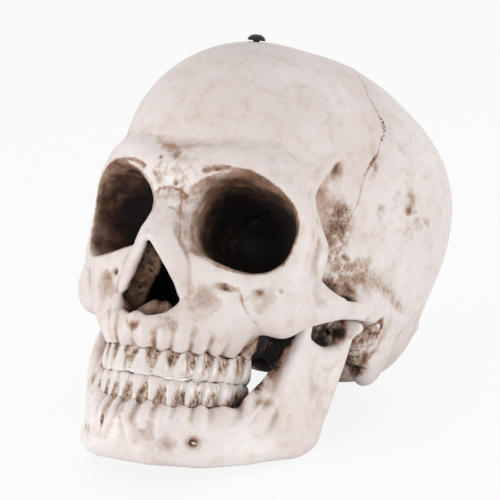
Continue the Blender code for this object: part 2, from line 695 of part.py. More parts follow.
def seam_plane(seam):
    """A place on a seam's plane, and the way up or back across it; the midline's runs to the left."""
    start, end = (Vector(scaled(shares, FACE)) for shares in SEAM_PLACE_SHARES[seam])
    if seam == "midline":
        return start, Vector((1, 0, 0))
    return start, (end - start).cross(Vector((-1, 0, 0))).normalized()


def add_block(seam, side, collection):
    """A block that takes away all that lies past a seam on one side, and half the clearance there."""
    start, across = seam_plane(seam)
    direction = across * side
    block = bmesh.new()
    bmesh.ops.create_cube(block, size=4 * CRANIAL_LENGTH)
    bmesh.ops.translate(block, vec=(0, 0, 2 * CRANIAL_LENGTH), verts=block.verts)
    mesh = bpy.data.meshes.new(f"{seam}_block")
    block.to_mesh(mesh)
    block.free()
    cutter = add_object(mesh.name, mesh, collection, None)
    cutter.matrix_world = standing_on(start - direction * CLEARANCE / 2, direction)
    hide_helper(cutter)
    return cutter


def part_head(head, collection, helpers, material):
    """The head as separate castings, parted along planes that follow its sutures."""
    parts = {}
    for name, stops in HEAD_PARTS.items():
        part = add_object(name, head.data.copy(), collection, None)
        for seam, side in stops:
            cut = part.modifiers.new(seam, "BOOLEAN")
            cut.object = add_block(seam, side, helpers)
            cut.solver = "EXACT"
        bpy.context.view_layer.update()
        mesh = evaluated_mesh(part)
        part.modifiers.clear()
        keep_largest_piece(mesh)
        mesh.name = name
        mesh.materials.clear()
        mesh.materials.append(material)
        mesh.set_sharp_from_angle(angle=CREASE_ANGLE)
        part.data = mesh
        parts[name] = part
    return parts


def add_hole(name, place, direction, radius, back, front, collection):
    """A round cutter along a direction, from behind a place to in front of it."""
    hole = bmesh.new()
    bmesh.ops.create_cone(
        hole, cap_ends=True, segments=SCREW_STEPS, radius1=radius, radius2=radius, depth=back + front
    )
    bmesh.ops.translate(hole, vec=(0, 0, (front - back) / 2), verts=hole.verts)
    mesh = bpy.data.meshes.new(name)
    hole.to_mesh(mesh)
    hole.free()
    cutter = add_object(name, mesh, collection, None)
    cutter.matrix_world = standing_on(place, direction)
    hide_helper(cutter)


def add_screw(name, place, direction, sizes, collection, holes, material):
    """A domed screw whose head's flat underside is at a place, with the cutter for its hole."""
    head, dome, shank, length = sizes
    turned = bpy.data.meshes.new(name)
    outline = [(0, dome)]
    for step in range(1, DOME_STEPS + 1):
        angle = step * math.pi / 2 / DOME_STEPS
        outline.append((head / 2 * math.sin(angle), dome * math.cos(angle)))
    outline += [(shank / 2, 0), (shank / 2, -length), (0, -length)]
    turned.from_pydata([(x, 0, z) for x, z in outline], [(i, i + 1) for i in range(len(outline) - 1)], [])
    screw = add_object(name, turned, collection, material)
    spin = screw.modifiers.new("turned", "SCREW")
    spin.steps = spin.render_steps = SCREW_STEPS
    spin.use_merge_vertices = True
    spin.merge_threshold = MERGE_DISTANCE
    spin.use_smooth_shade = True
    screw.matrix_world = standing_on(place, direction)
    add_hole(f"{name}_hole", place, direction, shank / 2 + CLEARANCE, length + CLEARANCE, dome, holes)
    return screw


def spring_seat(bone, boss_shares, sign, outward):
    """The middle of the flat under a spring's eye, just under the bone's skin, and the way it faces."""
    centre, radius = stations(boss_shares, FACE)[1]
    centre = Vector((sign * centre[0], centre[1], centre[2]))
    _, skin, _, _ = bone.ray_cast(centre + outward * 4 * radius, -outward)
    return skin - outward * SPOT_FACE_DEPTH, outward


def add_spring_screw(name, seat, outward, collection, holes, material):
    """A screw that holds a spring's eye over a flat cut into the bone."""
    sizes = (SPRING_SCREW_HEAD, SPRING_SCREW_DOME, SPRING_SCREW_SHANK, SPRING_SCREW_LENGTH)
    under_head = 2 * CLEARANCE + SPRING_WIRE
    flat_radius = SPRING_SCREW_HEAD / 2 + 3 * CLEARANCE
    add_hole(f"{name}_flat", seat, outward, flat_radius, 0, under_head + 2 * SPRING_SCREW_DOME, holes)
    return add_screw(name, seat + outward * under_head, outward, sizes, collection, holes, material)


def eye_places(centre, axis, towards):
    """Five sixths of a turn of wire round a screw, open on its far side and ending towards the coil."""
    radius = SPRING_SCREW_SHANK / 2 + CLEARANCE + SPRING_WIRE / 2
    inward = (towards - axis * towards.dot(axis)).normalized()
    side = axis.cross(inward)
    places = []
    for step in range(POINTS_PER_TURN + 1):
        angle = EYE_TURN * (1 - step / POINTS_PER_TURN)
        places.append(centre + radius * (inward * math.cos(angle) + side * math.sin(angle)))
    return places


def spring_places(top, top_axis, bottom, bottom_axis):
    """The wire of an extension spring: an eye, coils, and an eye a quarter turn round from the first."""
    axis = (bottom - top).normalized()
    side = axis.cross(top_axis).normalized()
    other = axis.cross(side)
    neck = SPRING_SCREW_HEAD / 2 + SPRING_LEAD
    start = top + axis * neck
    span = bottom - axis * neck - start
    radius = (SPRING_DIAMETER - SPRING_WIRE) / 2
    steps = SPRING_TURNS * POINTS_PER_TURN + POINTS_PER_TURN // 4
    coil = []
    for step in range(steps + 1):
        angle = step * 2 * math.pi / POINTS_PER_TURN
        swing = side * math.cos(angle) + other * math.sin(angle)
        coil.append(start + span * (step / steps) + radius * swing)
    return eye_places(top, top_axis, axis) + coil + eye_places(bottom, bottom_axis, -axis)[::-1]


def least_gap(places):
    """The least clear distance from the wire to itself, away from its own bends."""
    points = np.array(places)
    apart = np.linalg.norm(points[:, None] - points[None], axis=2)
    rows, columns = np.indices(apart.shape)
    return apart[np.abs(rows - columns) > POINTS_PER_TURN // 2].min() - SPRING_WIRE


def add_spring(name, places, collection, material):
    curve = bpy.data.curves.new(name, "CURVE")
    curve.dimensions = "3D"
    curve.bevel_depth = SPRING_WIRE / 2
    curve.bevel_resolution = 1
    curve.use_fill_caps = True
    line = curve.splines.new("POLY")
    line.points.add(len(places) - 1)
    for point, place in zip(line.points, places):
        point.co = (*place, 1)
    curve.materials.append(material)
    spring = bpy.data.objects.new(name, curve)
    collection.objects.link(spring)
    return spring


def world_points(obj, matrix):
    points = np.empty(len(obj.data.vertices) * 3)
    obj.data.vertices.foreach_get("co", points)
    return points.reshape(-1, 3) @ np.array(matrix.to_3x3()).T


def table_pose(cranium, mandible):
    """The backward lean at which jaw and head touch the table together, and the model's corners there."""
    low, high = 0.0, math.radians(60)
    for _ in range(40):
        lean = (low + high) / 2
        turn = Matrix.Rotation(-lean, 4, "X")
        head = world_points(cranium, turn)
        jaw = world_points(mandible, turn)
        if jaw[:, 2].min() < head[:, 2].min():
            low = lean
        else:
            high = lean
    everything = np.concatenate((head, jaw))
    return lean, everything.min(axis=0), everything.max(axis=0)


def bone_boxes():
    """The low and high corners of the spaces that the two bones are modelled in."""
    half = SIDE_ROOM_SHARE * max(CRANIAL_BREADTH / 2, CHEEK_REACH_SHARE * FACE_BREADTH)
    cranium_low = (-half, *scaled(CRANIUM_LOW_SHARES, FACE[1:]))
    cranium_high = (half, *scaled(CRANIUM_HIGH_SHARES, CASE[1:]))
    mandible_low, mandible_high = (scaled(shares, FACE) for shares in MANDIBLE_CORNER_SHARES)
    return (cranium_low, cranium_high), (mandible_low, mandible_high)


def main():
    for obj in list(bpy.data.objects):
        bpy.data.objects.remove(obj)
    scene_root = bpy.context.scene.collection
    model = bpy.data.collections.new("anatomical_skull_model")
    helpers = bpy.data.collections.new("seam_blocks")
    cutters = {name: bpy.data.collections.new(f"{name}_cutters") for name in ("face", "crown", "base", "mandible")}
    for collection in (model, helpers, *cutters.values()):
        scene_root.children.link(collection)
    bone = add_material("bone_resin", (0.78, 0.73, 0.68), 0.45)
    enamel = add_material("tooth_resin", (0.80, 0.75, 0.69), 0.35)
    dark_steel = add_material("dark_steel", (0.06, 0.055, 0.05), 0.4, 0.9)
    steel = add_material("steel", (0.55, 0.55, 0.55), 0.3, 1.0)

    cranium_box, mandible_box = bone_boxes()
    cranium = cast_bone("cranium", cranium_form, cranium_box, CRANIUM_FACES, helpers, bone)
    hide_helper(cranium)
    mandible = cast_bone("mandible", mandible_form, mandible_box, MANDIBLE_FACES, model, bone)
    lean, low, high = table_pose(cranium, mandible)
    skull = bpy.data.objects.new("leaned_skull", None)
    hinge = bpy.data.objects.new("jaw_hinge", None)
    scene_root.objects.link(skull)
    scene_root.objects.link(hinge)
    skull.rotation_euler = (-lean, 0, 0)
    skull.location = (0, -(low[1] + high[1]) / 2, -low[2] - SEAT_DEPTH)
    hinge.parent = skull
    hinge.location = (0, -CONDYLE_ADVANCE, -CONDYLE_DROP)

    castings = part_head(cranium, model, helpers, bone)
    upper = set_teeth("upper", model, cutters["face"], enamel)
    lower = set_teeth("lower", model, cutters["mandible"], enamel)

    _, place, normal, _ = cranium.ray_cast(
        Vector((0, CROWN_SCREW_SHARE * CRANIAL_LENGTH, 2 * VAULT_HEIGHT)), Vector((0, 0, -1))
    )
    crown_screw = add_screw(
        "crown_screw", place + normal * CLEARANCE, normal,
        (CROWN_SCREW_HEAD, CROWN_SCREW_DOME, CROWN_SCREW_SHANK, CROWN_SCREW_LENGTH),
        model, cutters["crown"], dark_steel,
    )
    pieces = {"cranium": [*castings.values(), crown_screw] + upper, "mandible": [mandible] + lower}
    for side, sign in (("left", 1), ("right", -1)):
        top, forward = spring_seat(cranium, SPRING_BOSS_SHARES, sign, Vector((0, -1, 0)))
        bottom, inward = spring_seat(mandible, JAW_SPRING_BOSS_SHARES, sign, Vector((-sign, 0, 0)))
        pieces["cranium"].append(
            add_spring_screw(f"{side}_spring_screw_cranium", top, forward, model, cutters["base"], steel)
        )
        pieces["mandible"].append(
            add_spring_screw(f"{side}_spring_screw_jaw", bottom, inward, model, cutters["mandible"], steel)
        )
        rise = CLEARANCE + SPRING_WIRE / 2
        places = spring_places(top + forward * rise, forward, bottom + inward * rise, inward)
        pieces["cranium"].append(add_spring(f"{side}_jaw_spring", places, model, steel))
        print(f"{side} spring's least gap to itself: {least_gap(places) / MM:.2f} mm")

    for obj in pieces["cranium"] + [obj for name in ("face", "crown", "base") for obj in cutters[name].objects]:
        obj.parent = skull
    for obj in pieces["mandible"] + list(cutters["mandible"].objects):
        obj.parent = hinge
        obj.matrix_parent_inverse = Matrix.Translation(-hinge.location)
    table = add_object("table_plane", bpy.data.meshes.new("table_plane"), scene_root, None)
    slab = bmesh.new()
    bmesh.ops.create_cube(slab, size=4 * CRANIAL_LENGTH)
    slab.to_mesh(table.data)
    slab.free()
    table.location.z = -2 * CRANIAL_LENGTH
    hide_helper(table)
    for casting, holes in (
        (castings["left_facial_bones"], "face"), (castings["right_facial_bones"], "face"),
        (castings["frontal_bone"], "crown"), (castings["skull_base"], "base"), (mandible, "mandible"),
    ):
        cut_each(casting, cutters[holes])
    for bone_piece in (castings["skull_base"], mandible):
        flat = bone_piece.modifiers.new("table flat", "BOOLEAN")
        flat.object = table
        flat.solver = "EXACT"
    bpy.context.view_layer.update()
    axis_place = tuple(round(value, 5) for value in hinge.matrix_world.translation)
    print(f"lean {math.degrees(lean):.2f} degrees, hinge axis through {axis_place}")


main()
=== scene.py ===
"""Looks of a life-size anatomical skull model: cast resin bone with a brown wash left in its recesses, painted
shade in its cavities and closed-in places, and painted highlights on its ridges.
"""
import json
import math

import bmesh
import bpy
import numpy as np
from mathutils import Euler, Matrix, Vector
from mathutils.bvhtree import BVHTree
from mathutils.kdtree import KDTree


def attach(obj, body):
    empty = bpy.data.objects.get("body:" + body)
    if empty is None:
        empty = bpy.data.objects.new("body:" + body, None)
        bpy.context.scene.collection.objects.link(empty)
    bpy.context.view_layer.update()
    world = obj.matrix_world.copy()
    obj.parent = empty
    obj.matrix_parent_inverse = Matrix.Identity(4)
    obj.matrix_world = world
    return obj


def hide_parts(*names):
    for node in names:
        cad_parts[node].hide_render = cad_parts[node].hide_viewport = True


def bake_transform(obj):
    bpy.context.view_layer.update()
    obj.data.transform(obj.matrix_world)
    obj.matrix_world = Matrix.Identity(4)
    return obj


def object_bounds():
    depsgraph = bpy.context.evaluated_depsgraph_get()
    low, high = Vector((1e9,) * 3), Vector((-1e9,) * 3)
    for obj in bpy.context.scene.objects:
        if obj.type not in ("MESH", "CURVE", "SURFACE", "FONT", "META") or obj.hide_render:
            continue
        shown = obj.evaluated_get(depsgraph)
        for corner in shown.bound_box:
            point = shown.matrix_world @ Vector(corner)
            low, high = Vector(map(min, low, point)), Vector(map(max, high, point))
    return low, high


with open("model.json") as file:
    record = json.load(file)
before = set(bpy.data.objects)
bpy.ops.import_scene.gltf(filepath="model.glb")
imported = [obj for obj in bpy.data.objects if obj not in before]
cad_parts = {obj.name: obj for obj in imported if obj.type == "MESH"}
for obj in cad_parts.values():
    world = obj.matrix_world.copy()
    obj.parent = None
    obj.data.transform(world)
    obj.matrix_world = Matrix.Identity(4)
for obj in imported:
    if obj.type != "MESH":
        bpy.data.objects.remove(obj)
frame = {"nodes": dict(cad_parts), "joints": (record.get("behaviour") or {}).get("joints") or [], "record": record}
cad_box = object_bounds()

MM = 0.001

# The head's own frame: millimetres, X to the skull's left, -Y the way it faces, Z up, origin between the ears
LEAN = math.radians(29.68)
HINGE_IN_HEAD = Vector((0, -12, -8))
JOINT = frame["joints"][0]
HEAD = (
    Matrix.Translation(Vector(JOINT["pos_m"]))
    @ Matrix.Rotation(-LEAN, 4, "X")
    @ Matrix.Scale(MM, 4)
    @ Matrix.Translation(-HINGE_IN_HEAD)
)
TO_HEAD = HEAD.inverted()

# The camera in the head's frame: turn, tilt and roll in degrees, distance and offsets in millimetres
VIEW_TURN = math.radians(30.2)
VIEW_TILT = math.radians(-11.0)
VIEW_ROLL = math.radians(12.6)
VIEW_DISTANCE = 957
VIEW_OFFSET = (-4.5, 24.0)
VIEW_FOCUS = 2109 / 500
SENSOR_MM = 36

# Meshes: the distance at which points merge, the bones' voxels, and the triangles that each bone keeps
MERGE = 0.002
CRANIUM_VOXEL = 0.8
MANDIBLE_VOXEL = 0.65
CRANIUM_TRIANGLES = 190000
MANDIBLE_TRIANGLES = 110000
# Rays that tell how closed in a place is: reach, number, start over the surface, and share of the mesh used
REACH = 60
RAYS = 20
START_OUT = 0.7
COARSE_SHARE = 0.14
# A distance past all that are compared
FAR = 9.0

# The five castings of the head, and the planes of the thin seams between them: a place and the way across
CASTINGS = ("frontal_bone", "parietal_vault", "left_facial_bones", "right_facial_bones", "skull_base")
SEAM_PLANES = (
    ((0, -97, 44), (0, 10, 183)),
    ((0, -2, 113), (0, 71, -35)),
    ((0, -42, 0), (0, 1, 0)),
    ((0, 0, 0), (1, 0, 0)),
)
# How near its plane a seam's points lie, how far past it they are drawn, and the angle of a seam's edges
SEAM_REACH = 0.22
SEAM_OVERLAP = 1.4
SEAM_ANGLE = 0.7

# An eye socket of the left side: middle of its mouth, turn of its axis, half breadth, depth and half height
SOCKET_MOUTH = (30, -80, 15.5)
SOCKET_TURN = Euler((0, math.radians(12), math.radians(22)))
SOCKET_RADII = (21.5, 44, 18.5)
# A socket's mouth is a rounded square of this power, and its walls end at this reach, or nearer by the nose
SOCKET_POWER = 2.5
SOCKET_END = 1.42
SOCKET_END_INNER = 0.12
# Brown wash and painted shade in a socket: all over, and what the roof adds as painted shade, the inner wall and
# the floor take off as painted light, and the depth adds as painted shade
SOCKET_WASH_AND_SHADE = 0.45
SOCKET_ROOF_SHADE = 0.16
SOCKET_INNER_WALL_LIGHT = -0.16
SOCKET_FLOOR_LIGHT = -0.1
SOCKET_DEPTH_SHADE = 0.5
# Brown wash and painted shade in the nose: all over, the painted shade added behind the rim and at the back, the
# stain on the scroll, and small blots
NOSE_WASH_AND_SHADE = 0.52
NOSE_BEHIND_RIM_SHADE = 0.12
NOSE_BACK_SHADE = 0.36
SCROLL_STAIN = -0.02
BLOT_STAIN = 0.4
# The brown wash in the sockets and the nose; the rest of their darkness is painted shade
CAVITY_WASH = 0.3
# The nose's rim from its top down: height, half width, and how far forward it lies
NOSE_RIM = (
    (3, 0, -103), (-3.5, 4, -99.5), (-9, 8.5, -95), (-14, 12.2, -91), (-18.5, 13.5, -90), (-23, 13, -90.5),
    (-27, 9, -91.5),
)
# Thin walls beside the nose, each a row of round places and their radii: the front edge and the back one
NOSE_WALL = (
    (
        (0.8, -101.5, 7, 2.4), (1.5, -102.5, 2.5, 2.2), (4.8, -99, -2.5, 2.2), (8.8, -95.3, -8, 2.3),
        (12, -91.6, -13, 2.5), (14.8, -89.5, -18, 2.8),
    ),
    (
        (2.5, -97, 11, 3), (5, -97.5, 6, 3), (8.5, -94.5, 0, 3), (11.5, -91.5, -6, 3.2), (14, -89.5, -12, 3.2),
        (15.5, -88, -16, 3.2),
    ),
)
# The nose's side walls inside, that close towards the middle, as two rows of round places and radii
NOSE_INSIDE = (
    (
        (1.5, -96, 6, 1.6), (5, -93.5, -3, 1.6), (10.5, -89, -10, 1.7), (14.5, -85, -16, 1.8),
        (15.5, -84, -24, 1.8),
    ),
    ((0.5, -91, 2, 1.6), (1.4, -87.5, -4, 1.6), (4, -84.5, -9, 1.7), (8.5, -81, -14, 1.8), (11, -80, -23, 1.8)),
)
# The web in the corner behind the cheekbone, above the arch's root
CHEEK_WEB = (
    ((56.5, -53, 1.2, 1.5), (58.5, -49, -1, 1.5), (61, -44.5, -2, 1.4), (63.2, -40, -2.8, 1.2)),
    ((57.5, -53, -4, 2), (59.5, -49, -5, 2), (61.5, -45, -5, 1.8), (63.3, -40, -5, 1.5)),
)
# The scroll of bone on the nose's side wall, and the crest inside the jaw's front edge, as round places and radii;
# the wash table paints the crest dark as painted shade
NOSE_SCROLL = (
    (9.5, -85, -28.5, 1.8), (6.5, -83.5, -25, 2.2), (2.6, -82, -22, 2.4), (1.5, -79, -22, 2.4),
    (5, -82.5, -29, 2.4), (1.5, -81, -28, 2.4),
)
JAW_CREST = (
    (
        (44.5, -44.5, -24, 1.5), (41.8, -48, -36, 1.8), (39.8, -52, -44.5, 2), (37.5, -56, -51, 2),
        (34.5, -57.5, -59, 2.4),
    ),
    (
        (47.5, -43.5, -25, 1.4), (46, -45.5, -36, 1.5), (44, -49, -45, 1.8), (42, -53, -51, 2),
        (38.5, -57.5, -60, 2.6),
    ),
)
# A round place that fills the ear hole, which the wash table paints dark as painted shade
EAR_PLUG = (57.2, 1, -3.6, 4.2)

# The middle of the arch of the teeth lies this far in front of the ears
ARCH_MIDDLE = 45
# Where the filled necks of the teeth start from the biting edge, and how far they stand out
NECK_DEPTH = 10.3
NECK_OUT = 0.5
# The strip behind a row of teeth: share of their thickness, start and end from the biting edge, voxel and lumps
ROW_SHARE = 0.8
ROW_EDGE = 0.3
ROW_DEPTH = NECK_DEPTH + 2
ROW_VOXEL = 0.4
ROW_LUMPS = ((0.16, 1.6, 21), (0.1, 0.8, 22))
# How far each kind of tooth is lengthened towards its bite: lower row, upper row
BITE = {
    "central_incisor": (0.75, 0.15), "lateral_incisor": (0.7, 0.15),
    "canine": (0.55, 0.15), "first_premolar": (0.5, 0.1),
    "second_premolar": (0.35, 0.1), "first_molar": (0.15, 0.05), "second_molar": (0, 0),
}
# The two teeth that daylight shows over, their lengthening, and how far from the edge a lengthening fades out
OPEN_BITE = ("lower_left_canine", "lower_left_first_premolar")
OPEN_LENGTH = 0.05
BITE_FADE = 6
# Roots that show in the bone: their length by kind, how far up the crown they start, and half width by the tooth's
ROOT_LENGTHS = {"canine": 17, "molar": 10, "incisor": 12}
ROOT_START = 4
ROOT_WIDTH = 0.26
ROOT_RISE = 1.0
ROOT_FURROW = 0.45
# How far a tooth's faces swell, its lumps, and its cusps' height and waves
TOOTH_SWELL = 0.22
TOOTH_LUMPS = ((0.10, 2.6, 11), (0.05, 1.1, 12))
CUSP_HEIGHT = 0.45
CUSP_WAVE = 1.35

# Unevenness of a cast bone: height and size of its lumps and their seed, all over and on rough places
LUMPS = ((0.22, 14, 3), (0.07, 4, 5))
ROUGH_LUMPS = ((0.28, 3.2, 7), (0.2, 1.7, 9))
# Half width of a suture's groove
GROOVE = 0.8
# How far round a place its neighbours are averaged, to tell small forms and broad ones
FINE_ROUNDS = 5
WIDE_ROUNDS = 24
# How closed in a place is where painted shade starts to darken it, and where brown starts, which there is partly
# wash and partly painted shade, and how much more makes each full
SHADE_FROM, SHADE_SPAN = 0.36, 0.22
BROWN_FROM, BROWN_SPAN = 0.22, 0.25
BROWN_SHARE = 0.8
# Wash in the furrows between roots
FURROW_WASH = 0.2
# The darkest painted shade in a pit, and the depth at which a pit's painted shade is full
PIT_SHADE = 0.95
PIT_DEPTH = 2.4
# How much of the wiping and painted highlight of high places is left out in the sockets and the nose
WIPED_LESS = 0.85
# How far from its line a suture is drawn, and its fading at both ends
SUTURE_REACH = 5
SUTURE_ENDS = 25

# The least darkening on the head, a step darker than the jaw, and how much more the jaw is wiped: both painted
# light that makes the jaw lighter than the head
HEAD_SHADE_STEP = 0.06
JAW_PAINTED_LIGHT = 0.3
# How much of a second patch of wash shows where two lie over each other
OVERLAP = 0.35
# A spot this deep and small is painted dark as its shade, and one this high and small is wiped clean
PIT_RISE = -1
PIT_RADIUS = 3
BOSS_RISE = 1.5
BOSS_RADIUS = 4

# A jaw spring of the left side: its eyes' places, its coils, steps in each, radii, and the gap at each end
SPRING_TOP = (39.0, -28.21, -20.5)
SPRING_BOTTOM = (39.86, -33.0, -45.0)
COILS = 10.25
COIL_STEPS = 24
COIL_RADIUS = 2.1
EYE_RADIUS = 1.9
EYE_TURN = math.radians(300)
WIRE_RADIUS = 0.4
SPRING_GAP = 4.5
# The thread of a screw: pitch, flank and root, and the slope past which an edge is sharp
PITCH = 0.5
THREAD_TOP = 0.1
THREAD_ROOT = 0.3
ROOT_SHARE = 0.86
UNDERCUT = 0.12
SHARP_EDGE = math.radians(35)

# Colours along the stain on the bone, from wiped clean to full, and on the teeth
WASH_STOPS = (
    (0.0, "#F4EFED"), (0.06, "#E9E2DF"), (0.22, "#D8CCC5"), (0.4, "#B89F8E"), (0.62, "#876650"),
    (0.82, "#4B372C"), (1.0, "#1A1312"),
)
TOOTH_STOPS = (
    (0.0, "#E6DEDA"), (0.18, "#D3C5BC"), (0.36, "#B59A86"), (0.6, "#80624D"), (0.8, "#3F2C22"),
    (1.0, "#140E0C"),
)

# The stage: the floor's half size, its place under the model, its own glow to the camera, and the world's light
FLOOR_SIZE = 3
FLOOR_DROP = 0.2 * MM
FLOOR_GLOW = 0.87
WORLD_LIGHT = 0.44
LOOK_AT = Vector((0, -0.01, 0.09))
# Lamps: place from the middle of the object in the camera's own directions, size, power
LAMPS = (
    ("left_softbox", (-1.25, -0.08, 0.75), 0.8, 13.6),
    ("right_softbox", (1.25, -0.14, 0.7), 0.8, 14),
    ("top_softbox", (0.1, 1.4, -0.1), 1.2, 4),
)

# Sutures of the left side, in the head's frame: path, groove depth, line darkness, zigzag
SUTURES = (
    (((0, -2, 113), (14, -4, 113), (26.8, -9.2, 110.5), (37.5, -17.1, 101.9),
      (44.2, -22.4, 94.4)), 0.25, 0.55, 0.5),
    (((44.2, -22.4, 94.4), (49.3, -22.3, 88.6), (52.0, -22.3, 84.8), (53.9, -21.6, 82.2), (56.0, -23.8, 76.9),
      (56.7, -26.5, 73.1)), 0.3, 1.0, 1.9),
    (((56.7, -26.5, 73.1), (58.2, -29.2, 65.9), (58.0, -32.3, 62.0), (57.8, -36.2, 54.3)), 0.3, 0.34, 0.7),
    (((57.8, -36.2, 54.3), (57.9, -36.7, 47.9), (57.7, -36.0, 42.3), (56.5, -38, 34)), 0.2, 0.08, 0.5),
    (((0, -2, 113), (0, 30, 112), (0, 60, 96), (0, 80, 68)), 0.3, 0.6, 1.8),
    (((0, 80, 68), (20, 76, 56), (38, 66, 40), (52, 54, 22), (57, 45, 8)), 0.3, 0.6, 2.0),
    (((64.2, -16.0, 43.3), (66.0, -10.1, 45.1),
      (67.1, -5.1, 44.9), (68.7, 1.2, 48.1), (69.1, 7.6, 45.3), (69.3, 14.2, 43.1), (68.5, 24, 36),
      (66, 33, 24), (61, 41, 12)), -0.2, -0.3, 0.7),
    (((61, 41, 12), (58, 34, 0), (54, 34, -10)), 0.25, 0.3, 1.2),
    (((44, -77, 27), (50, -70, 25.5), (53, -65, 26), (54, -60, 25)), 0.2, 0.16, 0.6),
    (((33, -84, -3), (36.6, -82.9, -13.2), (38.3, -79.6, -18.1), (43, -72, -25)), 0.2, 0.18, 0.7),
    (((61, -46, 1), (65, -41, -4), (65, -37, -9)), 0.25, 0.2, 0.6),
    (((0, -95.5, 25.5), (5, -94, 25), (8, -93, 23)), 0.25, 0.3, 0.4),
    (((5, -94, 25), (8, -94.5, 14), (9.5, -94, 4), (9, -95, -2)), 0.25, 0.18, 0.4),
    (((0, -95.5, 25.5), (0, -100, 14), (0, -104, 3)), 0.2, 0.15, 0.3),
    (((0, -100, -33), (0, -99, -39), (0, -98, -44)), 0.3, 0.45, 0.4),
    (((0, -88, -36), (0, -70, -34), (0, -50, -34)), 0.4, 0.5, 0.5),
    (((0, -60, -34), (8, -60, -34), (17, -58, -37)), 0.35, 0.45, 0.6),
)

# Ridges and hollows of the left side: path, half width, height outwards
CRANIUM_LINES = (
    (((52, -66, 26), (51.6, -65.1, 34.0), (50.7, -63.8, 38.3), (50.6, -61.7, 44.6), (51.7, -57.3, 51.7),
      (52.9, -51.3, 60.6)), 2.0, 0.9),
    (((52.9, -51.3, 60.6), (55, -42, 68), (58, -25, 78), (60, -5, 84), (61, 15, 82), (60, 35, 72),
      (58, 50, 58)), 2.6, 0.45),
    (((60, -12, 8), (61, 4, 6), (60, 20, 4), (58, 34, 6)), 3.0, 0.8),
    (((0, 86, 20), (25, 78, 18), (45, 60, 12), (58, 44, 4)), 2.6, 1.0),
    (((0, 72, 0), (25, 60, -4), (42, 44, -8)), 2.4, 0.8),
    (((0, 84, 18), (0, 60, -4), (0, 34, -18)), 2.0, 0.7),
    (((44, 14, -24), (45, 26, -21), (46, 38, -14)), 2.0, -2.2),
    (((14, -96, 33), (20, -95, 35.3), (26, -93, 36.4)), 1.0, -1.1),
    (((30, -68, -1), (24, -60, 1), (17, -53, 6)), 1.5, -2.2),
    (((26, -55, 25), (19, -52, 20), (14, -51, 13)), 1.6, -2.6),
    (((8.5, -84, 20), (8, -82, 13), (9, -80, 6)), 2.2, -1.5),
    (((10, -86, 21), (9.5, -84.5, 13), (11, -83, 5)), 0.9, 0.7),
)
MANDIBLE_LINES = (
    (((45, -45, -40), (42, -50, -52), (38, -58, -62), (34, -66, -70)), 2.6, 1.0),
    (((54, -20, -50), (55, -24, -60), (52, -32, -66)), 2.2, 0.7),
    (((52, -28, -40), (53, -30, -52)), 2.6, 0.5),
    (((38, -38, -55), (30, -56, -66), (20, -72, -76)), 2.0, 0.8),
    (((2, -95, -70), (5.4, -93.8, -76), (7, -91, -82)), 1.6, 0.6),
    (((0, -93, -66), (0, -95, -76)), 1.8, 0.5),
)

# Pits and bumps: place, radii, height outwards, on both sides or only one
CRANIUM_SPOTS = (
    ((31.0, -86.2, -12.2), (3.6, 4.0, 1.5), -3.6, "left"),
    ((-21.4, -89.5, -11.8), (1.6, 3.0, 1.5), -2.6, "right"),
    ((49, -71, -8), (1.0, 1.5, 1.0), -1.2, "both"),
    ((7, -97.6, 37.9), (1.1, 2, 0.8), -0.9, "right"),
    ((2.5, -95.7, 27.4), (0.8, 2, 0.8), -1.1, "left"),
    ((2.6, -95.4, 25.0), (1.0, 2, 0.7), -0.9, "right"),
    ((3.6, -96.9, 16.7), (1.1, 2, 0.5), -0.7, "left"),
    ((12, -54, 17), (2.3, 3.5, 2.3), -4.0, "both"),
    ((50, 8, -24), (3.0, 3.0, 3.0), -2.6, "both"),
    ((55.8, -33.7, 17.6), (1.5, 2.4, 1.2), -1.0, "both"),
    ((62.4, -15.4, -5.5), (0.8, 1.6, 2.2), -1.2, "both"),
    ((13, 5, -26), (4.0, 8.0, 4.0), 2.6, "both"),
    ((0, 86, 20), (7, 5, 5), 1.6, "both"),
    ((0, -101, -32), (2.2, 4, 2.4), 2.2, "both"),
    ((0, -84, -37), (2.0, 3.0, 3.0), -2.4, "both"),
    ((13, -56, -38), (1.4, 2.2, 2.4), -2.0, "both"),
    ((54, -50, 34), (8, 10, 12), -1.6, "both"),
    ((30, -85, 62), (16, 12, 16), 0.9, "both"),
    ((23, -86, -22), (8, 6, 8), -0.3, "both"),
)
MANDIBLE_SPOTS = (
    ((27.1, -76.8, -76.4), (2.6, 3.4, 2.6), -2.4, "both"),
    ((27.1, -76.8, -76.4), (1.25, 3.4, 1.25), 1.9, "both"),
    ((8.6, -93.8, -75.3), (0.8, 2.4, 2.6), -1.4, "right"),
    ((43, -30, -40), (1.8, 2.6, 2.6), -2.2, "both"),
    ((50, -30, -45), (9, 12, 12), -0.7, "both"),
)
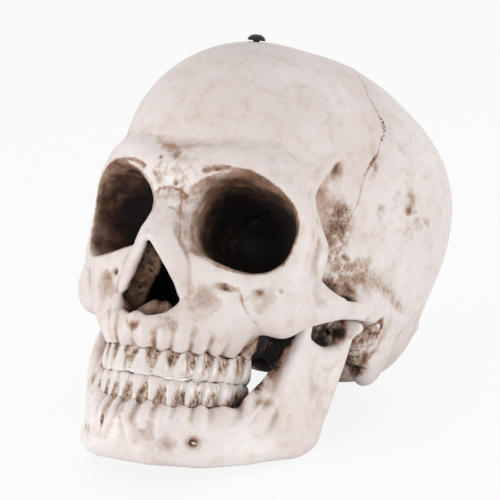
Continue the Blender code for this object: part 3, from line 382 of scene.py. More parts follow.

# Brown wash in patches, with painted shade in the strongest ones under the skull's base, behind the cheekbones, at
# the ear holes, in front of the jaw's hinge and along the inside of the jaw's front edge: place, radii, strength,
# stipple, on both sides or only one
CRANIUM_WASH_AND_SHADE = (
    ((54.6, -43, 33), (8, 8, 8), 0.42, 0.9, "both"),
    ((54.6, -45, 25), (7, 6, 6), 0.5, 0.9, "both"),
    ((54.0, -40, 17), (6, 9, 6), 0.3, 0.8, "both"),
    ((53.3, -52.5, 50), (5, 4, 5), 0.62, 0.1, "both"),
    ((54.5, -45, 59), (4, 4.5, 4.5), 0.35, 0.1, "both"),
    ((52.5, -58, 38), (4, 5, 9), 0.35, 0.4, "both"),
    ((58.5, -31.5, 60), (5, 3, 6), 0.55, 0.1, "both"),
    ((58, -37, 47), (3, 2.5, 7), 0.3, 0.2, "both"),
    ((62, -22, 41.7), (4, 2.6, 3), 0.5, 0.1, "left"),
    ((67, -5.7, 54), (4, 3, 6), 0.42, 0.2, "left"),
    ((67.6, -4.3, 48.6), (4, 5, 3), 0.5, 0.3, "left"),
    ((68.6, 10, 48), (4, 5, 4), 0.42, 0.2, "both"),
    ((64, -16, 58), (8, 9, 16), 0.18, 0.1, "both"),
    ((66, 0, 40), (6, 16, 9), 0.18, 0.3, "both"),
    ((66.5, -8, 56), (6, 9, 12), 0.16, 0.2, "both"),
    ((61.6, -11.3, 74), (6, 7, 7), 0.26, 0.0, "left"),
    ((56, -31, 12), (8, 10, 8), 0.36, 0.7, "both"),
    ((58, -20, 15), (6, 9, 6), 0.3, 0.6, "both"),
    ((61, -4, 13), (6, 12, 5), 0.24, 0.5, "both"),
    ((61, 14, 10), (5, 8, 4), 0.3, 0.3, "both"),
    ((53, -36, 6), (6, 6, 5), 0.6, 0.3, "both"),
    ((57, -26, 5), (5, 8, 3), 0.5, 0.3, "both"),
    ((35, -46, -16), (12, 12, 15), 1.7, 0.2, "both"),
    ((30, -46, -30), (5, 6, 8), 1.3, 0.2, "both"),
    ((20, -40, -26), (17, 18, 14), 1.7, 0.2, "both"),
    ((14, -8, -24), (24, 18, 9), 1.8, 0.3, "both"),
    ((38, -22, -18), (12, 14, 10), 1.9, 0.3, "both"),
    ((40, 0, -24), (12, 12, 8), 0.7, 0.6, "both"),
    ((20, 40, -23), (24, 22, 8), 0.5, 0.3, "both"),
    ((56, 0, -9), (8, 9, 8), 0.62, 1.0, "both"),
    ((52, 2, -18), (8, 8, 7), 0.8, 1.0, "both"),
    ((51, 8, -23), (8, 7, 5), 0.6, 0.9, "both"),
    ((50, -12, -13), (5, 5, 5), 0.9, 0.6, "both"),
    ((57, 1, -3.6), (7, 5, 5), 1.0, 0.5, "both"),
    ((52, 24, -24), (8, 9, 7), 0.4, 0.9, "both"),
    ((62.4, -15.4, -5.5), (1.0, 1.0, 2.2), 1.4, 0.0, "both"),
    ((20, -95, 35.3), (7, 4, 2.2), 0.6, 0.0, "left"),
    ((24, -92, 40), (14, 8, 5), 0.2, 0.1, "both"),
    ((10.5, -92, 23.5), (5, 6, 6), 0.5, 0.3, "left"),
    ((34, -88, 37), (10, 7, 5), 0.24, 0.1, "right"),
    ((54, -62, 17), (4, 6, 8), 0.36, 0.25, "both"),
    ((49, -70, 12), (2.5, 5, 12), 0.25, 0.1, "both"),
    ((33, -86, -12.5), (5, 3, 2.6), 0.75, 0.0, "left"),
    ((41.9, -76.5, -10.9), (1.6, 2.4, 1.6), 0.55, 0.0, "left"),
    ((37.4, -81, -16), (2, 3, 5), 0.25, 0.0, "left"),
    ((25, -88, -13), (5, 4, 4), 0.36, 0.2, "right"),
    ((12, -96, -31), (12, 6, 5), 0.42, 0.2, "both"),
    ((18, -92, -20), (8, 5, 9), 0.16, 0.2, "both"),
    ((0, -99, -34), (5, 4, 3), 0.5, 0.3, "both"),
    ((0, -84, 70), (40, 25, 22), 0.08, 0.05, "both"),
    ((30, -60, 92), (22, 22, 12), 0.1, 0.05, "both"),
    ((6, -96, 36), (11, 7, 11), 0.34, 0.3, "both"),
    ((5, -96, 31), (8, 6, 8), 0.3, 0.3, "both"),
    ((55, -40, 27), (7, 7, 7), 0.42, 0.9, "both"),
    ((28, -88, 33), (18, 9, 7), 0.16, 0.2, "both"),
    ((22, -88, -22), (14, 9, 12), 0.08, 0.3, "both"),
    ((41, -76, -12), (10, 8, 8), 0.12, 0.2, "both"),
    ((4, -97, 20), (6, 6, 12), 0.2, 0.3, "both"),
    ((8, -77, -24), (10, 9, 7), 0.5, 0.4, "left"),
    ((12, -86, 22), (4, 7, 8), 0.42, 0.3, "both"),
    ((0, 10, -20), (42, 34, 9), 0.34, 0.5, "both"),
    ((0, 55, -6), (40, 20, 12), 0.22, 0.4, "both"),
    ((0, -60, -34), (20, 30, 8), 0.3, 0.3, "both"),
    ((30, 60, 60), (30, 30, 30), 0.08, 0.1, "both"),
)
# On the jaw, the strongest patches are painted shade along the inside of its front edge and in front of its hinge
MANDIBLE_WASH_AND_SHADE = (
    ((11.9, -91.9, -75.4), (4, 4, 4), 0.42, 0.2, "left"),
    ((18.9, -84.7, -80.2), (6, 4, 4), 0.32, 0.1, "both"),
    ((4, -93, -70), (12, 5, 6), 0.26, 0.2, "both"),
    ((0, -94, -80), (14, 6, 8), 0.16, 0.1, "both"),
    ((27.6, -76.4, -76), (4.2, 4, 3.6), 0.3, 0.3, "both"),
    ((8.6, -93.8, -75.3), (0.9, 3, 2.6), 1.2, 0.0, "right"),
    ((37, -51, -53), (6, 8, 4), 0.6, 0.5, "both"),
    ((42, -44, -42), (3, 5, 8), 0.4, 0.3, "both"),
    ((52, -30, -40), (6, 6, 10), 0.14, 0.1, "both"),
    ((54, -22, -62), (6, 6, 5), 0.18, 0.2, "both"),
    ((40, -34, -38), (6, 16, 20), 0.75, 0.3, "both"),
    ((41, -48, -35), (2.3, 4, 9), 1.9, 0.2, "both"),
    ((38.3, -53.5, -46), (2.1, 3.2, 5), 1.7, 0.2, "both"),
    ((35.5, -57.5, -55), (2, 3, 3), 0.8, 0.5, "both"),
    ((43, -45, -24), (2, 3, 5), 1.6, 0.2, "both"),
    ((49.5, -17, -11), (4, 4, 6), 1.6, 0.2, "both"),
    ((50, -12, -10), (10, 6, 6), 0.2, 0.4, "both"),
)


def side_weight(points, side):
    """One where a patch applies, fading over a millimetre at the middle, when it is on one side only."""
    if side == "both":
        return 1.0
    sign = 1 if side == "left" else -1
    return np.clip(sign * points[:, 0] + 0.5, 0, 1)


def folded(points):
    """Points with the right half laid over the left one."""
    out = points.copy()
    out[:, 0] = np.abs(out[:, 0])
    return out


def patch(points, place, radii, side="both"):
    """A soft round patch of weight one at a place and zero away from it."""
    place = (abs(place[0]), place[1], place[2])
    reach = (folded(points) - np.array(place)) / np.array(radii)
    return np.exp(-(reach ** 2).sum(1)) * side_weight(points, side)


def cloud(points, size, seed):
    """Smooth noise from -1 to 1, with lumps of a size in millimetres."""
    grid = np.random.default_rng(seed).uniform(-1, 1, (64, 64, 64))
    place = points / size + seed * 7.31
    cell = np.floor(place).astype(int)
    share = place - cell
    share = share * share * (3 - 2 * share)
    total = np.zeros(len(points))
    for corner in np.ndindex(2, 2, 2):
        weight = np.ones(len(points))
        for axis in range(3):
            weight *= share[:, axis] if corner[axis] else 1 - share[:, axis]
        x, y, z = ((cell + corner) % 64).T
        total += weight * grid[x, y, z]
    return total


def lumpy(points, lumps):
    """Noise of several sizes, from a table of heights, sizes and seeds."""
    return sum(height * cloud(points, size, seed) for height, size, seed in lumps)


def mesh_points(mesh):
    points = np.empty(len(mesh.vertices) * 3)
    mesh.vertices.foreach_get("co", points)
    return points.reshape(-1, 3)


def mesh_normals(mesh):
    normals = np.empty(len(mesh.vertices) * 3)
    mesh.vertex_normals.foreach_get("vector", normals)
    return normals.reshape(-1, 3)


def set_points(mesh, points):
    mesh.vertices.foreach_set("co", points.ravel())
    mesh.update()


def shade_smooth(mesh):
    for face in mesh.polygons:
        face.use_smooth = True


def as_mesh(work, name):
    """A named mesh of what has been built, which is then freed."""
    mesh = bpy.data.meshes.new(name)
    work.to_mesh(mesh)
    work.free()
    return mesh


def new_object(name, data):
    """A mesh, curve, lamp or camera placed in the scene."""
    obj = bpy.data.objects.new(name, data)
    bpy.context.scene.collection.objects.link(obj)
    return obj


def node_copy(name):
    """A node's mesh in the head's frame, with its loose triangles merged."""
    mesh = frame["nodes"][name].data.copy()
    for layer in ("custom_normal", "sharp_edge", "sharp_face"):
        if layer in mesh.attributes:
            mesh.attributes.remove(mesh.attributes[layer])
    mesh.materials.clear()
    work = bmesh.new()
    work.from_mesh(mesh)
    work.transform(TO_HEAD)
    bmesh.ops.remove_doubles(work, verts=work.verts, dist=MERGE)
    for face in work.faces:
        face.smooth = True
    work.to_mesh(mesh)
    work.free()
    return mesh


def ball(x, y, z, radius):
    """Points spread evenly over a ball."""
    steps = np.arange(90) + 0.5
    lift = 1 - steps / 45
    turn = steps * math.pi * (3 - math.sqrt(5))
    spread = np.sqrt(1 - lift ** 2)
    return np.stack([spread * np.cos(turn), spread * np.sin(turn), lift], 1) * radius + (x, y, z)


def wall_shells(rows):
    """A wall between two rows of balls, as the points of closed shells, each round four of them."""
    first, second = rows
    return [
        np.concatenate([ball(*place) for place in (*first[index:index + 2], *second[index:index + 2])])
        for index in range(len(first) - 1)
    ]


def fillers_of(body):
    """Closed shells that finish the nose and the jaw's front edge and fill the ear holes, on both sides."""
    if body == "cranium":
        shells = wall_shells(NOSE_WALL) + wall_shells(NOSE_INSIDE) + wall_shells(CHEEK_WEB)
        shells += [ball(*EAR_PLUG), np.concatenate([ball(*place) for place in NOSE_SCROLL])]
    else:
        shells = wall_shells(JAW_CREST)
    return shells + [shell * (-1, 1, 1) for shell in shells]


def biting_edge(points, name):
    """The height of a tooth's biting edge, and how far from it each point lies."""
    height = points[:, 2].min() if name.startswith("upper") else points[:, 2].max()
    return height, np.abs(points[:, 2] - height)


def closed_bite(points, name):
    """A tooth's points with its edge lengthened towards the tooth it bites on."""
    upper = name.startswith("upper")
    reach = OPEN_LENGTH if name in OPEN_BITE else BITE[name.split("_", 2)[2]][upper]
    from_edge = biting_edge(points, name)[1]
    out = points.copy()
    out[:, 2] += (-reach if upper else reach) * np.clip(1 - from_edge / BITE_FADE, 0, 1)
    return out


def tooth_part(name, share, grow, low, high):
    """A tooth's points between two distances from its biting edge, drawn in or out, and the edge's height."""
    mesh = worked(node_copy(name), ("SUBSURF", {"levels": 2, "render_levels": 2}))
    points = closed_bite(mesh_points(mesh), name)
    bpy.data.meshes.remove(mesh)
    biting, depth = biting_edge(points, name)
    rows = np.stack([np.ones(len(points)), points[:, 2]], 1)
    line = rows @ np.linalg.lstsq(rows, points[:, :2], rcond=None)[0]
    offset = points[:, :2] - line
    length = np.maximum(np.sqrt((offset ** 2).sum(1)), 0.1)[:, None]
    points[:, :2] = line + offset * share + grow * offset / length
    return points[(depth > low) & (depth < high)], biting


def add_hull(work, points):
    """Wraps points in a closed shell."""
    verts = [work.verts.new(point) for point in points]
    made = bmesh.ops.convex_hull(work, input=verts)
    inner = made["geom_interior"] + made["geom_unused"]
    spare = {item for item in inner if isinstance(item, bmesh.types.BMVert)}
    bmesh.ops.delete(work, geom=list(spare), context="VERTS")


def joined(names, fillers):
    """Nodes' meshes as one mesh, with the thin seams between them closed and fillers added."""
    work = bmesh.new()
    for name in names:
        mesh = node_copy(name)
        work.from_mesh(mesh)
        bpy.data.meshes.remove(mesh)
    crease = work.edges.layers.float.new("crease_edge")
    for place, across in SEAM_PLANES if len(names) > 1 else ():
        place, across = Vector(place), Vector(across).normalized()
        for edge in work.edges:
            if all(abs((vert.co - place).dot(across)) < SEAM_REACH for vert in edge.verts):
                if edge.is_manifold and edge.calc_face_angle() > SEAM_ANGLE:
                    edge[crease] = 1
        for vert in work.verts:
            apart = (vert.co - place).dot(across)
            if abs(apart) < SEAM_REACH:
                vert.co -= across * apart * SEAM_OVERLAP
    for points in fillers:
        add_hull(work, points)
    return as_mesh(work, "joined")


def worked(mesh, *steps):
    """The mesh after a row of modifiers, each given as its kind and settings."""
    obj = new_object("work", mesh)
    for kind, settings in steps:
        modifier = obj.modifiers.new(kind, kind)
        for name, value in settings.items():
            setattr(modifier, name, value)
    graph = bpy.context.evaluated_depsgraph_get()
    result = bpy.data.meshes.new_from_object(obj.evaluated_get(graph))
    bpy.data.objects.remove(obj)
    bpy.data.meshes.remove(mesh)
    return result


def tree_of(meshes):
    """A search tree over meshes' faces."""
    places, faces = [], []
    for mesh in meshes:
        start = len(places)
        places += [vertex.co.copy() for vertex in mesh.vertices]
        faces += [[start + index for index in face.vertices] for face in mesh.polygons]
    return BVHTree.FromPolygons(places, faces)


def spread_values(places, values, points):
    """Values at points from those at the three nearest of the places, by distance."""
    near = KDTree(len(places))
    for index, place in enumerate(places):
        near.insert(place, index)
    near.balance()
    out = np.empty(len(points))
    for index, point in enumerate(points):
        total = weight = 0.0
        for _, other, distance in near.find_n(point, 3):
            share = 1 / (distance + 0.05)
            total += share * values[other]
            weight += share
        out[index] = total / weight
    return out


def on_skin(path, skin, step=2.5):
    """A path cut into short steps, each laid on the nearest skin."""
    places = []
    for start, end in zip(path, path[1:]):
        start, end = Vector(start), Vector(end)
        count = max(1, int((end - start).length / step))
        places += [start.lerp(end, index / count) for index in range(count)]
    places.append(Vector(path[-1]))
    return np.array([skin.find_nearest(place)[0] for place in places])


def along_path(points, normals, path, reach):
    """For each point: distance from a path, which side it lies on, and how far along it is, from 0 to 1."""
    distance = np.full(len(points), FAR)
    side = np.ones(len(points))
    run = np.zeros(len(points))
    low, high = path.min(0) - reach, path.max(0) + reach
    near = np.flatnonzero(((points > low) & (points < high)).all(1))
    if not len(near):
        return distance, side, run
    here, out = points[near], normals[near]
    best = np.full(len(near), FAR)
    for index, (start, end) in enumerate(zip(path, path[1:])):
        span = end - start
        length = max(span @ span, 1e-9)
        share = np.clip((here - start) @ span / length, 0, 1)
        offset = here - start - share[:, None] * span
        apart = np.sqrt((offset ** 2).sum(1))
        closer = apart < best
        best[closer] = apart[closer]
        turn = (offset * np.cross(span, out)).sum(1)
        side[near[closer]] = np.where(turn[closer] < 0, -1, 1)
        run[near[closer]] = (index + share[closer]) / (len(path) - 1)
    distance[near] = best
    return distance, side, run


def carve_lines(points, normals, lines, skin):
    """Heights of ridges and hollows that follow paths, tapering down towards each end."""
    height = np.zeros(len(points))
    for path, half_width, rise in lines:
        distance, _, run = along_path(folded(points), normals, on_skin(path, skin), 4 * half_width)
        taper = np.clip(np.minimum(run, 1 - run) * 6 + 0.15, 0, 1)
        height += rise * taper * np.exp(-(distance / half_width) ** 2)
    return height


def neighbours_mean(mesh, values, rounds):
    """Values averaged over neighbouring vertices, round after round."""
    edges = np.empty(len(mesh.edges) * 2, int)
    mesh.edges.foreach_get("vertices", edges)
    first, second = edges.reshape(-1, 2).T
    count = np.bincount(edges, minlength=len(values))[:, None]
    for _ in range(rounds):
        total = np.stack([
            np.bincount(first, column[second], len(values)) + np.bincount(second, column[first], len(values))
            for column in values.T
        ], 1)
        values = (values + total) / (count + 1)
    return values


def enclosure(points, normals, tree):
    """How far each point is closed in by the surfaces round it, from 0 in the open to 1."""
    chance = np.random.default_rng(4)
    swing = chance.uniform(0, 2 * math.pi, RAYS)
    rise = np.sqrt((np.arange(RAYS) + 0.5) / RAYS)
    spread = np.sqrt(1 - rise ** 2)
    local = np.stack([spread * np.cos(swing), spread * np.sin(swing), rise], 1)
    closed = np.zeros(len(points))
    cast = tree.ray_cast
    for index, (place, out) in enumerate(zip(points, normals)):
        up = (0, 0, 1) if abs(out[2]) < 0.9 else (1, 0, 0)
        across = np.cross(up, out)
        across /= math.sqrt(across @ across) + 1e-12
        other = np.cross(out, across)
        rays = local @ np.array((across, other, out))
        start = Vector(place + out * START_OUT)
        total = 0.0
        for ray in rays:
            hit = cast(start, Vector(ray), REACH)[3]
            if hit is not None:
                total += 1 - hit / REACH
        closed[index] = total / RAYS
    return closed


def smooth(values, low, high):
    """Zero up to a low value and one from a high one, eased between them."""
    share = np.clip((values - low) / (high - low), 0, 1)
    return share * share * (3 - 2 * share)


def cavities(points, normals):
    """Where the walls of the eye sockets and the nose lie, and how dark their brown wash and painted shade make
    them.
    """
    here, out = folded(points), normals.copy()
    out[:, 0] *= np.where(points[:, 0] < 0, -1, 1)
    turn = np.array(SOCKET_TURN.to_matrix())
    place, facing = (here - SOCKET_MOUTH) @ turn, out @ turn
    sides = [np.abs(place[:, axis] / SOCKET_RADII[axis]) ** SOCKET_POWER for axis in (0, 2)]
    section = (sides[0] + sides[1]) ** (1 / SOCKET_POWER)
    reach = np.sqrt(section ** 2 + np.maximum(place[:, 1] / SOCKET_RADII[1], 0) ** 2)
    inward = place * (1, 0, 1)
    inward /= np.sqrt((inward ** 2).sum(1))[:, None] + 1e-6
    turned_in = np.maximum(-(inward * facing).sum(1), -facing[:, 1] * (place[:, 1] > 14))
    far = SOCKET_END - SOCKET_END_INNER * smooth(-place[:, 0], 4, 12)
    socket = smooth(turned_in, 0.14, 0.34) * smooth(far - reach, -0.07, 0.07)
    socket *= smooth(place[:, 1] + 13 + 10 * smooth(place[:, 2], 4, 10), -3, 3)
    # Wash and painted shade in a socket: painted shade on the down-facing roof and deeper in, painted light on the
    # inner wall and the up-facing floor
    amount = SOCKET_WASH_AND_SHADE + SOCKET_ROOF_SHADE * smooth(place[:, 2], 0, 12) + SOCKET_INNER_WALL_LIGHT * smooth(-place[:, 0], 4, 15)
    amount += SOCKET_FLOOR_LIGHT * smooth(-place[:, 2], 6, 15)
    amount += SOCKET_DEPTH_SHADE * smooth(place[:, 1], 4, 30)
    rim = np.array(NOSE_RIM)[::-1]
    half = np.interp(here[:, 2], rim[:, 0], rim[:, 1], 0, 0)
    behind = here[:, 1] - np.interp(here[:, 2], rim[:, 0], rim[:, 2])
    across = smooth(half + 4.5 - here[:, 0], 0, 1) * smooth(half, 0, 1.5)
    inside = np.maximum(smooth(-out[:, 0], 0.1, 0.45), smooth(half - here[:, 0], 0, 1))
    nose = across * smooth(behind, 0.8, 2.4) * np.maximum(inside, smooth(behind, 5, 8))
    # Painted shade in the nose over its wash, growing behind the rim and towards the back
    nose_amount = NOSE_WASH_AND_SHADE + NOSE_BEHIND_RIM_SHADE * smooth(behind, 2, 10) + NOSE_BACK_SHADE * smooth(behind, 14, 22)
    nose_amount += SCROLL_STAIN * patch(here, (4, -83, -25), (7, 5, 5))
    nose_amount += BLOT_STAIN * smooth(cloud(points, 1.6, 31) + 0.6 * cloud(points, 0.9, 33), 0.45, 0.75)
    weight = np.maximum(socket, nose)
    return weight, np.where(nose > socket, nose_amount, amount)


def store(mesh, name, values):
    """Keeps a value for each point in the mesh, for its material to read."""
    layer = mesh.attributes.new(name, "FLOAT", "POINT")
    layer.data.foreach_set("value", np.asarray(values, np.float32))


def wash(points, patches):
    """Brown wash, with painted shade in its strong patches, and stipple from a table of patches."""
    brown, stipple = np.zeros(len(points)), np.zeros(len(points))
    for place, radii, strength, dots, side in patches:
        weight = patch(points, place, radii, side)
        brown = np.maximum(brown, strength * weight) + OVERLAP * np.minimum(brown, strength * weight)
        stipple = np.maximum(stipple, dots * weight)
    return brown, stipple


def add_piece(name, mesh, body, slot, material, *nodes):
    """Places a finished mesh in the row frame, riding on a body and standing for its nodes."""
    mesh.name = name
    mesh.transform(HEAD)
    mesh.materials.clear()
    mesh.materials.append(material)
    piece = new_object(name, mesh)
    if nodes:
        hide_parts(*nodes)
    if body:
        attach(piece, body)
    return piece


def kept_in_box(points):
    """Points in the head's frame, held inside the solid model's box and above its table."""
    turn, shift = np.array(HEAD.to_3x3()), np.array(HEAD.translation)
    placed = points @ turn.T + shift
    placed = np.clip(placed, np.array(cad_box[0]), np.array(cad_box[1]))
    return (placed - shift) @ np.linalg.inv(turn).T


def tooth_roots(teeth, skin, rootward):
    """For each tooth, a path on the outer face of the jaw along its root, and its half width."""
    roots = []
    for name in teeth:
        mesh = node_copy(name)
        points = mesh_points(mesh)
        bpy.data.meshes.remove(mesh)
        centre = points.mean(0)
        neck = points[np.argsort(points[:, 2] * rootward)[-len(points) // 4:]].mean(0)
        forward = centre[1] + ARCH_MIDDLE
        width = np.ptp(points[:, :2] @ np.array((forward, -centre[0])) / math.hypot(centre[0], forward))
        outward = Vector((centre[0], forward, 0)).normalized()
        length = next(length for kind, length in ROOT_LENGTHS.items() if kind in name)
        path = []
        for share in np.linspace(0, 1, 6):
            start = Vector((neck[0], neck[1], neck[2] + rootward * (share * length - ROOT_START)))
            hit = skin.ray_cast(start + outward * 25, -outward)[0]
            if hit is not None:
                path.append(hit)
        if len(path) > 2:
            roots.append((np.array(path), width * ROOT_WIDTH))
    return roots


def sculpt_bone(body, names, voxel, lines, spots, teeth, rootward, rough_patches, sutures):
    """A bone's mesh, refined and carved in the head's frame."""
    fillers = fillers_of(body) + [tooth_part(name, 1, NECK_OUT, NECK_DEPTH, FAR * 3)[0] for name in teeth]
    mesh = worked(
        joined(names, fillers),
        ("SUBSURF", {"levels": 1, "render_levels": 1}),
        ("REMESH", {"mode": "VOXEL", "voxel_size": voxel, "use_smooth_shade": True}),
        ("SMOOTH", {"factor": 0.5, "iterations": 5}),
    )
    skin = tree_of([mesh])
    points, normals = mesh_points(mesh), mesh_normals(mesh)
    height = carve_lines(points, normals, lines, skin)
    for place, radii, rise, side in spots:
        height += rise * patch(points, place, radii, side)
    for path, half_width in tooth_roots(teeth, skin, rootward):
        distance, _, run = along_path(points, normals, path, 8)
        height += ROOT_RISE * (1 - run) ** 0.6 * np.exp(-(distance / half_width) ** 2)
        height -= ROOT_FURROW * (1 - run) ** 0.6 * np.exp(-((distance - 2 * half_width) / half_width) ** 2)
    rough = np.zeros(len(points))
    for place, radii, _, dots, side in rough_patches:
        rough = np.maximum(rough, dots * patch(points, place, radii, side))
    height += lumpy(points, LUMPS)
    height += rough * lumpy(points, ROUGH_LUMPS)
    for path, depth, _, _ in sutures:
        distance = along_path(folded(points), normals, on_skin(path, skin), 4)[0]
        height -= depth * np.exp(-(distance / GROOVE) ** 2)
    set_points(mesh, kept_in_box(points + normals * height[:, None]))
    return mesh, skin


def finish_bone(mesh, skin, teeth, triangles, patches, spots, sutures, roots):
    """Thins a carved bone and stores where its wash, painted shade, painted highlights, pores and sutures lie."""
    count = sum(len(face.vertices) - 2 for face in mesh.polygons)
    mesh = worked(mesh, ("DECIMATE", {"ratio": min(1, triangles / count), "use_collapse_triangulate": True}))
    shade_smooth(mesh)
    points, normals = mesh_points(mesh), mesh_normals(mesh)
    coarse = worked(mesh.copy(), ("DECIMATE", {"ratio": COARSE_SHARE}))
    crowns = [node_copy(tooth) for tooth in teeth]
    tree = tree_of([coarse] + crowns)
    rough_points = mesh_points(coarse)
    closed = spread_values(rough_points, enclosure(rough_points, mesh_normals(coarse), tree), points)
    for spare in [coarse] + crowns:
        bpy.data.meshes.remove(spare)
    closed = neighbours_mean(mesh, closed[:, None], 3)[:, 0]
    fine = ((neighbours_mean(mesh, points, FINE_ROUNDS) - points) * normals).sum(1)
    wide = ((neighbours_mean(mesh, points, WIDE_ROUNDS) - points) * normals).sum(1)
    brown, stipple = wash(points, patches)
    for path, half_width in roots:
        distance, _, run = along_path(points, normals, path, 8)
        furrow = np.exp(-((distance - 1.9 * half_width) / (0.6 * half_width)) ** 2)
        brown += FURROW_WASH * furrow * (1 - run) ** 1.3
    # Painted shade where the bone closes in round a place, and brown there that is partly wash and partly painted
    # shade
    deep = np.clip((closed - SHADE_FROM) / SHADE_SPAN, 0, 1)
    brown += BROWN_SHARE * np.clip((closed - BROWN_FROM) / BROWN_SPAN, 0, 1)
    weight = np.zeros(len(points))
    # The eye sockets and the nose get their brown wash, and the rest of their darkness as painted shade
    if len(sutures):
        weight, dark = cavities(points, normals)
        brown += weight * (CAVITY_WASH - brown)
        deep += weight * (dark - CAVITY_WASH - deep)
    # Small deep pits get painted shade; small high bosses are wiped clean of wash and shade
    for place, radii, rise, side in spots:
        hole = smooth(patch(points, place, radii, side), 0.4, 0.8)
        if rise < PIT_RISE and min(radii) < PIT_RADIUS:
            deep = np.maximum(deep, min(-rise / PIT_DEPTH, PIT_SHADE) * hole)
        elif rise > BOSS_RISE and max(radii) < BOSS_RADIUS:
            deep, brown = deep * (1 - hole), brown * (1 - hole)
    # Brown is wash with painted shade mixed in; deep is painted shade, over a step on the head
    store(mesh, "wash", np.clip(brown, 0, 2))
    store(mesh, "pores", np.clip(stipple, 0, 1))
    # Painted light: the head is held a step darker than the jaw
    head_shade_step = HEAD_SHADE_STEP if len(sutures) else 0
    store(mesh, "deep", deep + head_shade_step)
    store(mesh, "head_shade_step", np.full(len(points), head_shade_step))
    store(mesh, "hollow", np.clip((fine - 0.02) / 0.12, 0, 1) + 0.6 * np.clip((wide - 0.25) / 0.5, 0, 1))
    raised = np.clip(-fine / 0.10, 0, 1) + np.clip(-wide / 0.5, 0, 1)
    # Raised places are wiped of wash and get a painted highlight; the jaw is wiped a little more all over as
    # painted light
    store(mesh, "crest", raised * (1 - WIPED_LESS * weight) + (0 if len(sutures) else JAW_PAINTED_LIGHT))
    nearest = np.full(len(points), FAR)
    seam, dark, zigzag = np.full(len(points), FAR), np.zeros(len(points)), np.zeros(len(points))
    for path, _, darkness, wander in sutures:
        distance, side, run = along_path(folded(points), normals, on_skin(path, skin), 7)
        closer = distance < nearest
        nearest[closer] = distance[closer]
        seam[closer] = (distance * side)[closer]
        ends = np.clip(np.minimum(run, 1 - run) * SUTURE_ENDS, 0, 1)
        fade = np.clip(SUTURE_REACH - distance, 0, 1) * ends
        dark[closer] = (darkness * fade)[closer]
        zigzag[closer] = wander
    store(mesh, "seam", seam)
    store(mesh, "seam_dark", dark)
    store(mesh, "seam_zigzag", zigzag)
    return mesh, tree


def linear(code):
    """A colour written as sRGB hex, as linear values with full opacity."""
    parts = [int(code[index:index + 2], 16) / 255 for index in (1, 3, 5)]
    return [part / 12.92 if part <= 0.04045 else ((part + 0.055) / 1.055) ** 2.4 for part in parts] + [1]


def add_node(tree, kind, inputs=None, stops=None, **settings):
    """Adds a shader node with its settings, its values or links, and its ramp's stops."""
    made = tree.nodes.new(kind)
    for name, value in settings.items():
        setattr(made, name, value)
    for socket, value in (inputs or {}).items():
        if isinstance(value, bpy.types.NodeSocket):
            tree.links.new(value, made.inputs[socket])
        else:
            made.inputs[socket].default_value = value
    if stops:
        while len(made.color_ramp.elements) < len(stops):
            made.color_ramp.elements.new(1)
        for element, (place, code) in zip(made.color_ramp.elements, stops):
            element.position = place
            element.color = linear(code)
    return made


def new_material(name):
    """A material with its node tree and its main shader."""
    material = bpy.data.materials.new(name)
    material.use_nodes = True
    tree = material.node_tree
    return material, tree, tree.nodes["Principled BSDF"]


def maths(tree, operation, *values, **settings):
    """The result of a sum on numbers and other nodes' outputs."""
    made = add_node(tree, "ShaderNodeMath", dict(enumerate(values)), operation=operation, **settings)
    return made.outputs[0]


def rescaled(tree, value, low, high, new_low, new_high):
    """A value carried from one range onto another, and held inside it."""
    ends = {"From Min": low, "From Max": high, "To Min": new_low, "To Max": new_high}
    return add_node(tree, "ShaderNodeMapRange", {"Value": value, **ends}).outputs[0]


def noise(tree, place, size, detail, rough=0.5):
    """Noise with lumps of a size in millimetres."""
    amounts = {"Scale": 1 / (size * MM), "Detail": detail, "Roughness": rough}
    return add_node(tree, "ShaderNodeTexNoise", {"Vector": place, **amounts}).outputs["Fac"]


def stored(tree, name):
    """A value that the mesh keeps for each point."""
    return add_node(tree, "ShaderNodeAttribute", attribute_name=name).outputs["Fac"]


def coloured(tree, value, stops):
    """A colour picked from a ramp by a value."""
    return add_node(tree, "ShaderNodeValToRGB", {"Fac": value}, stops).outputs[0]


def wire_up(tree, shader, colour, gloss, height, strength, depth):
    """Links a colour, a roughness and a relief of some depth in millimetres to the main shader."""
    bump = add_node(tree, "ShaderNodeBump", {"Strength": strength, "Distance": depth * MM, "Height": height})
    for socket, source in (("Base Color", colour), ("Roughness", gloss), ("Normal", bump.outputs[0])):
        tree.links.new(source, shader.inputs[socket])


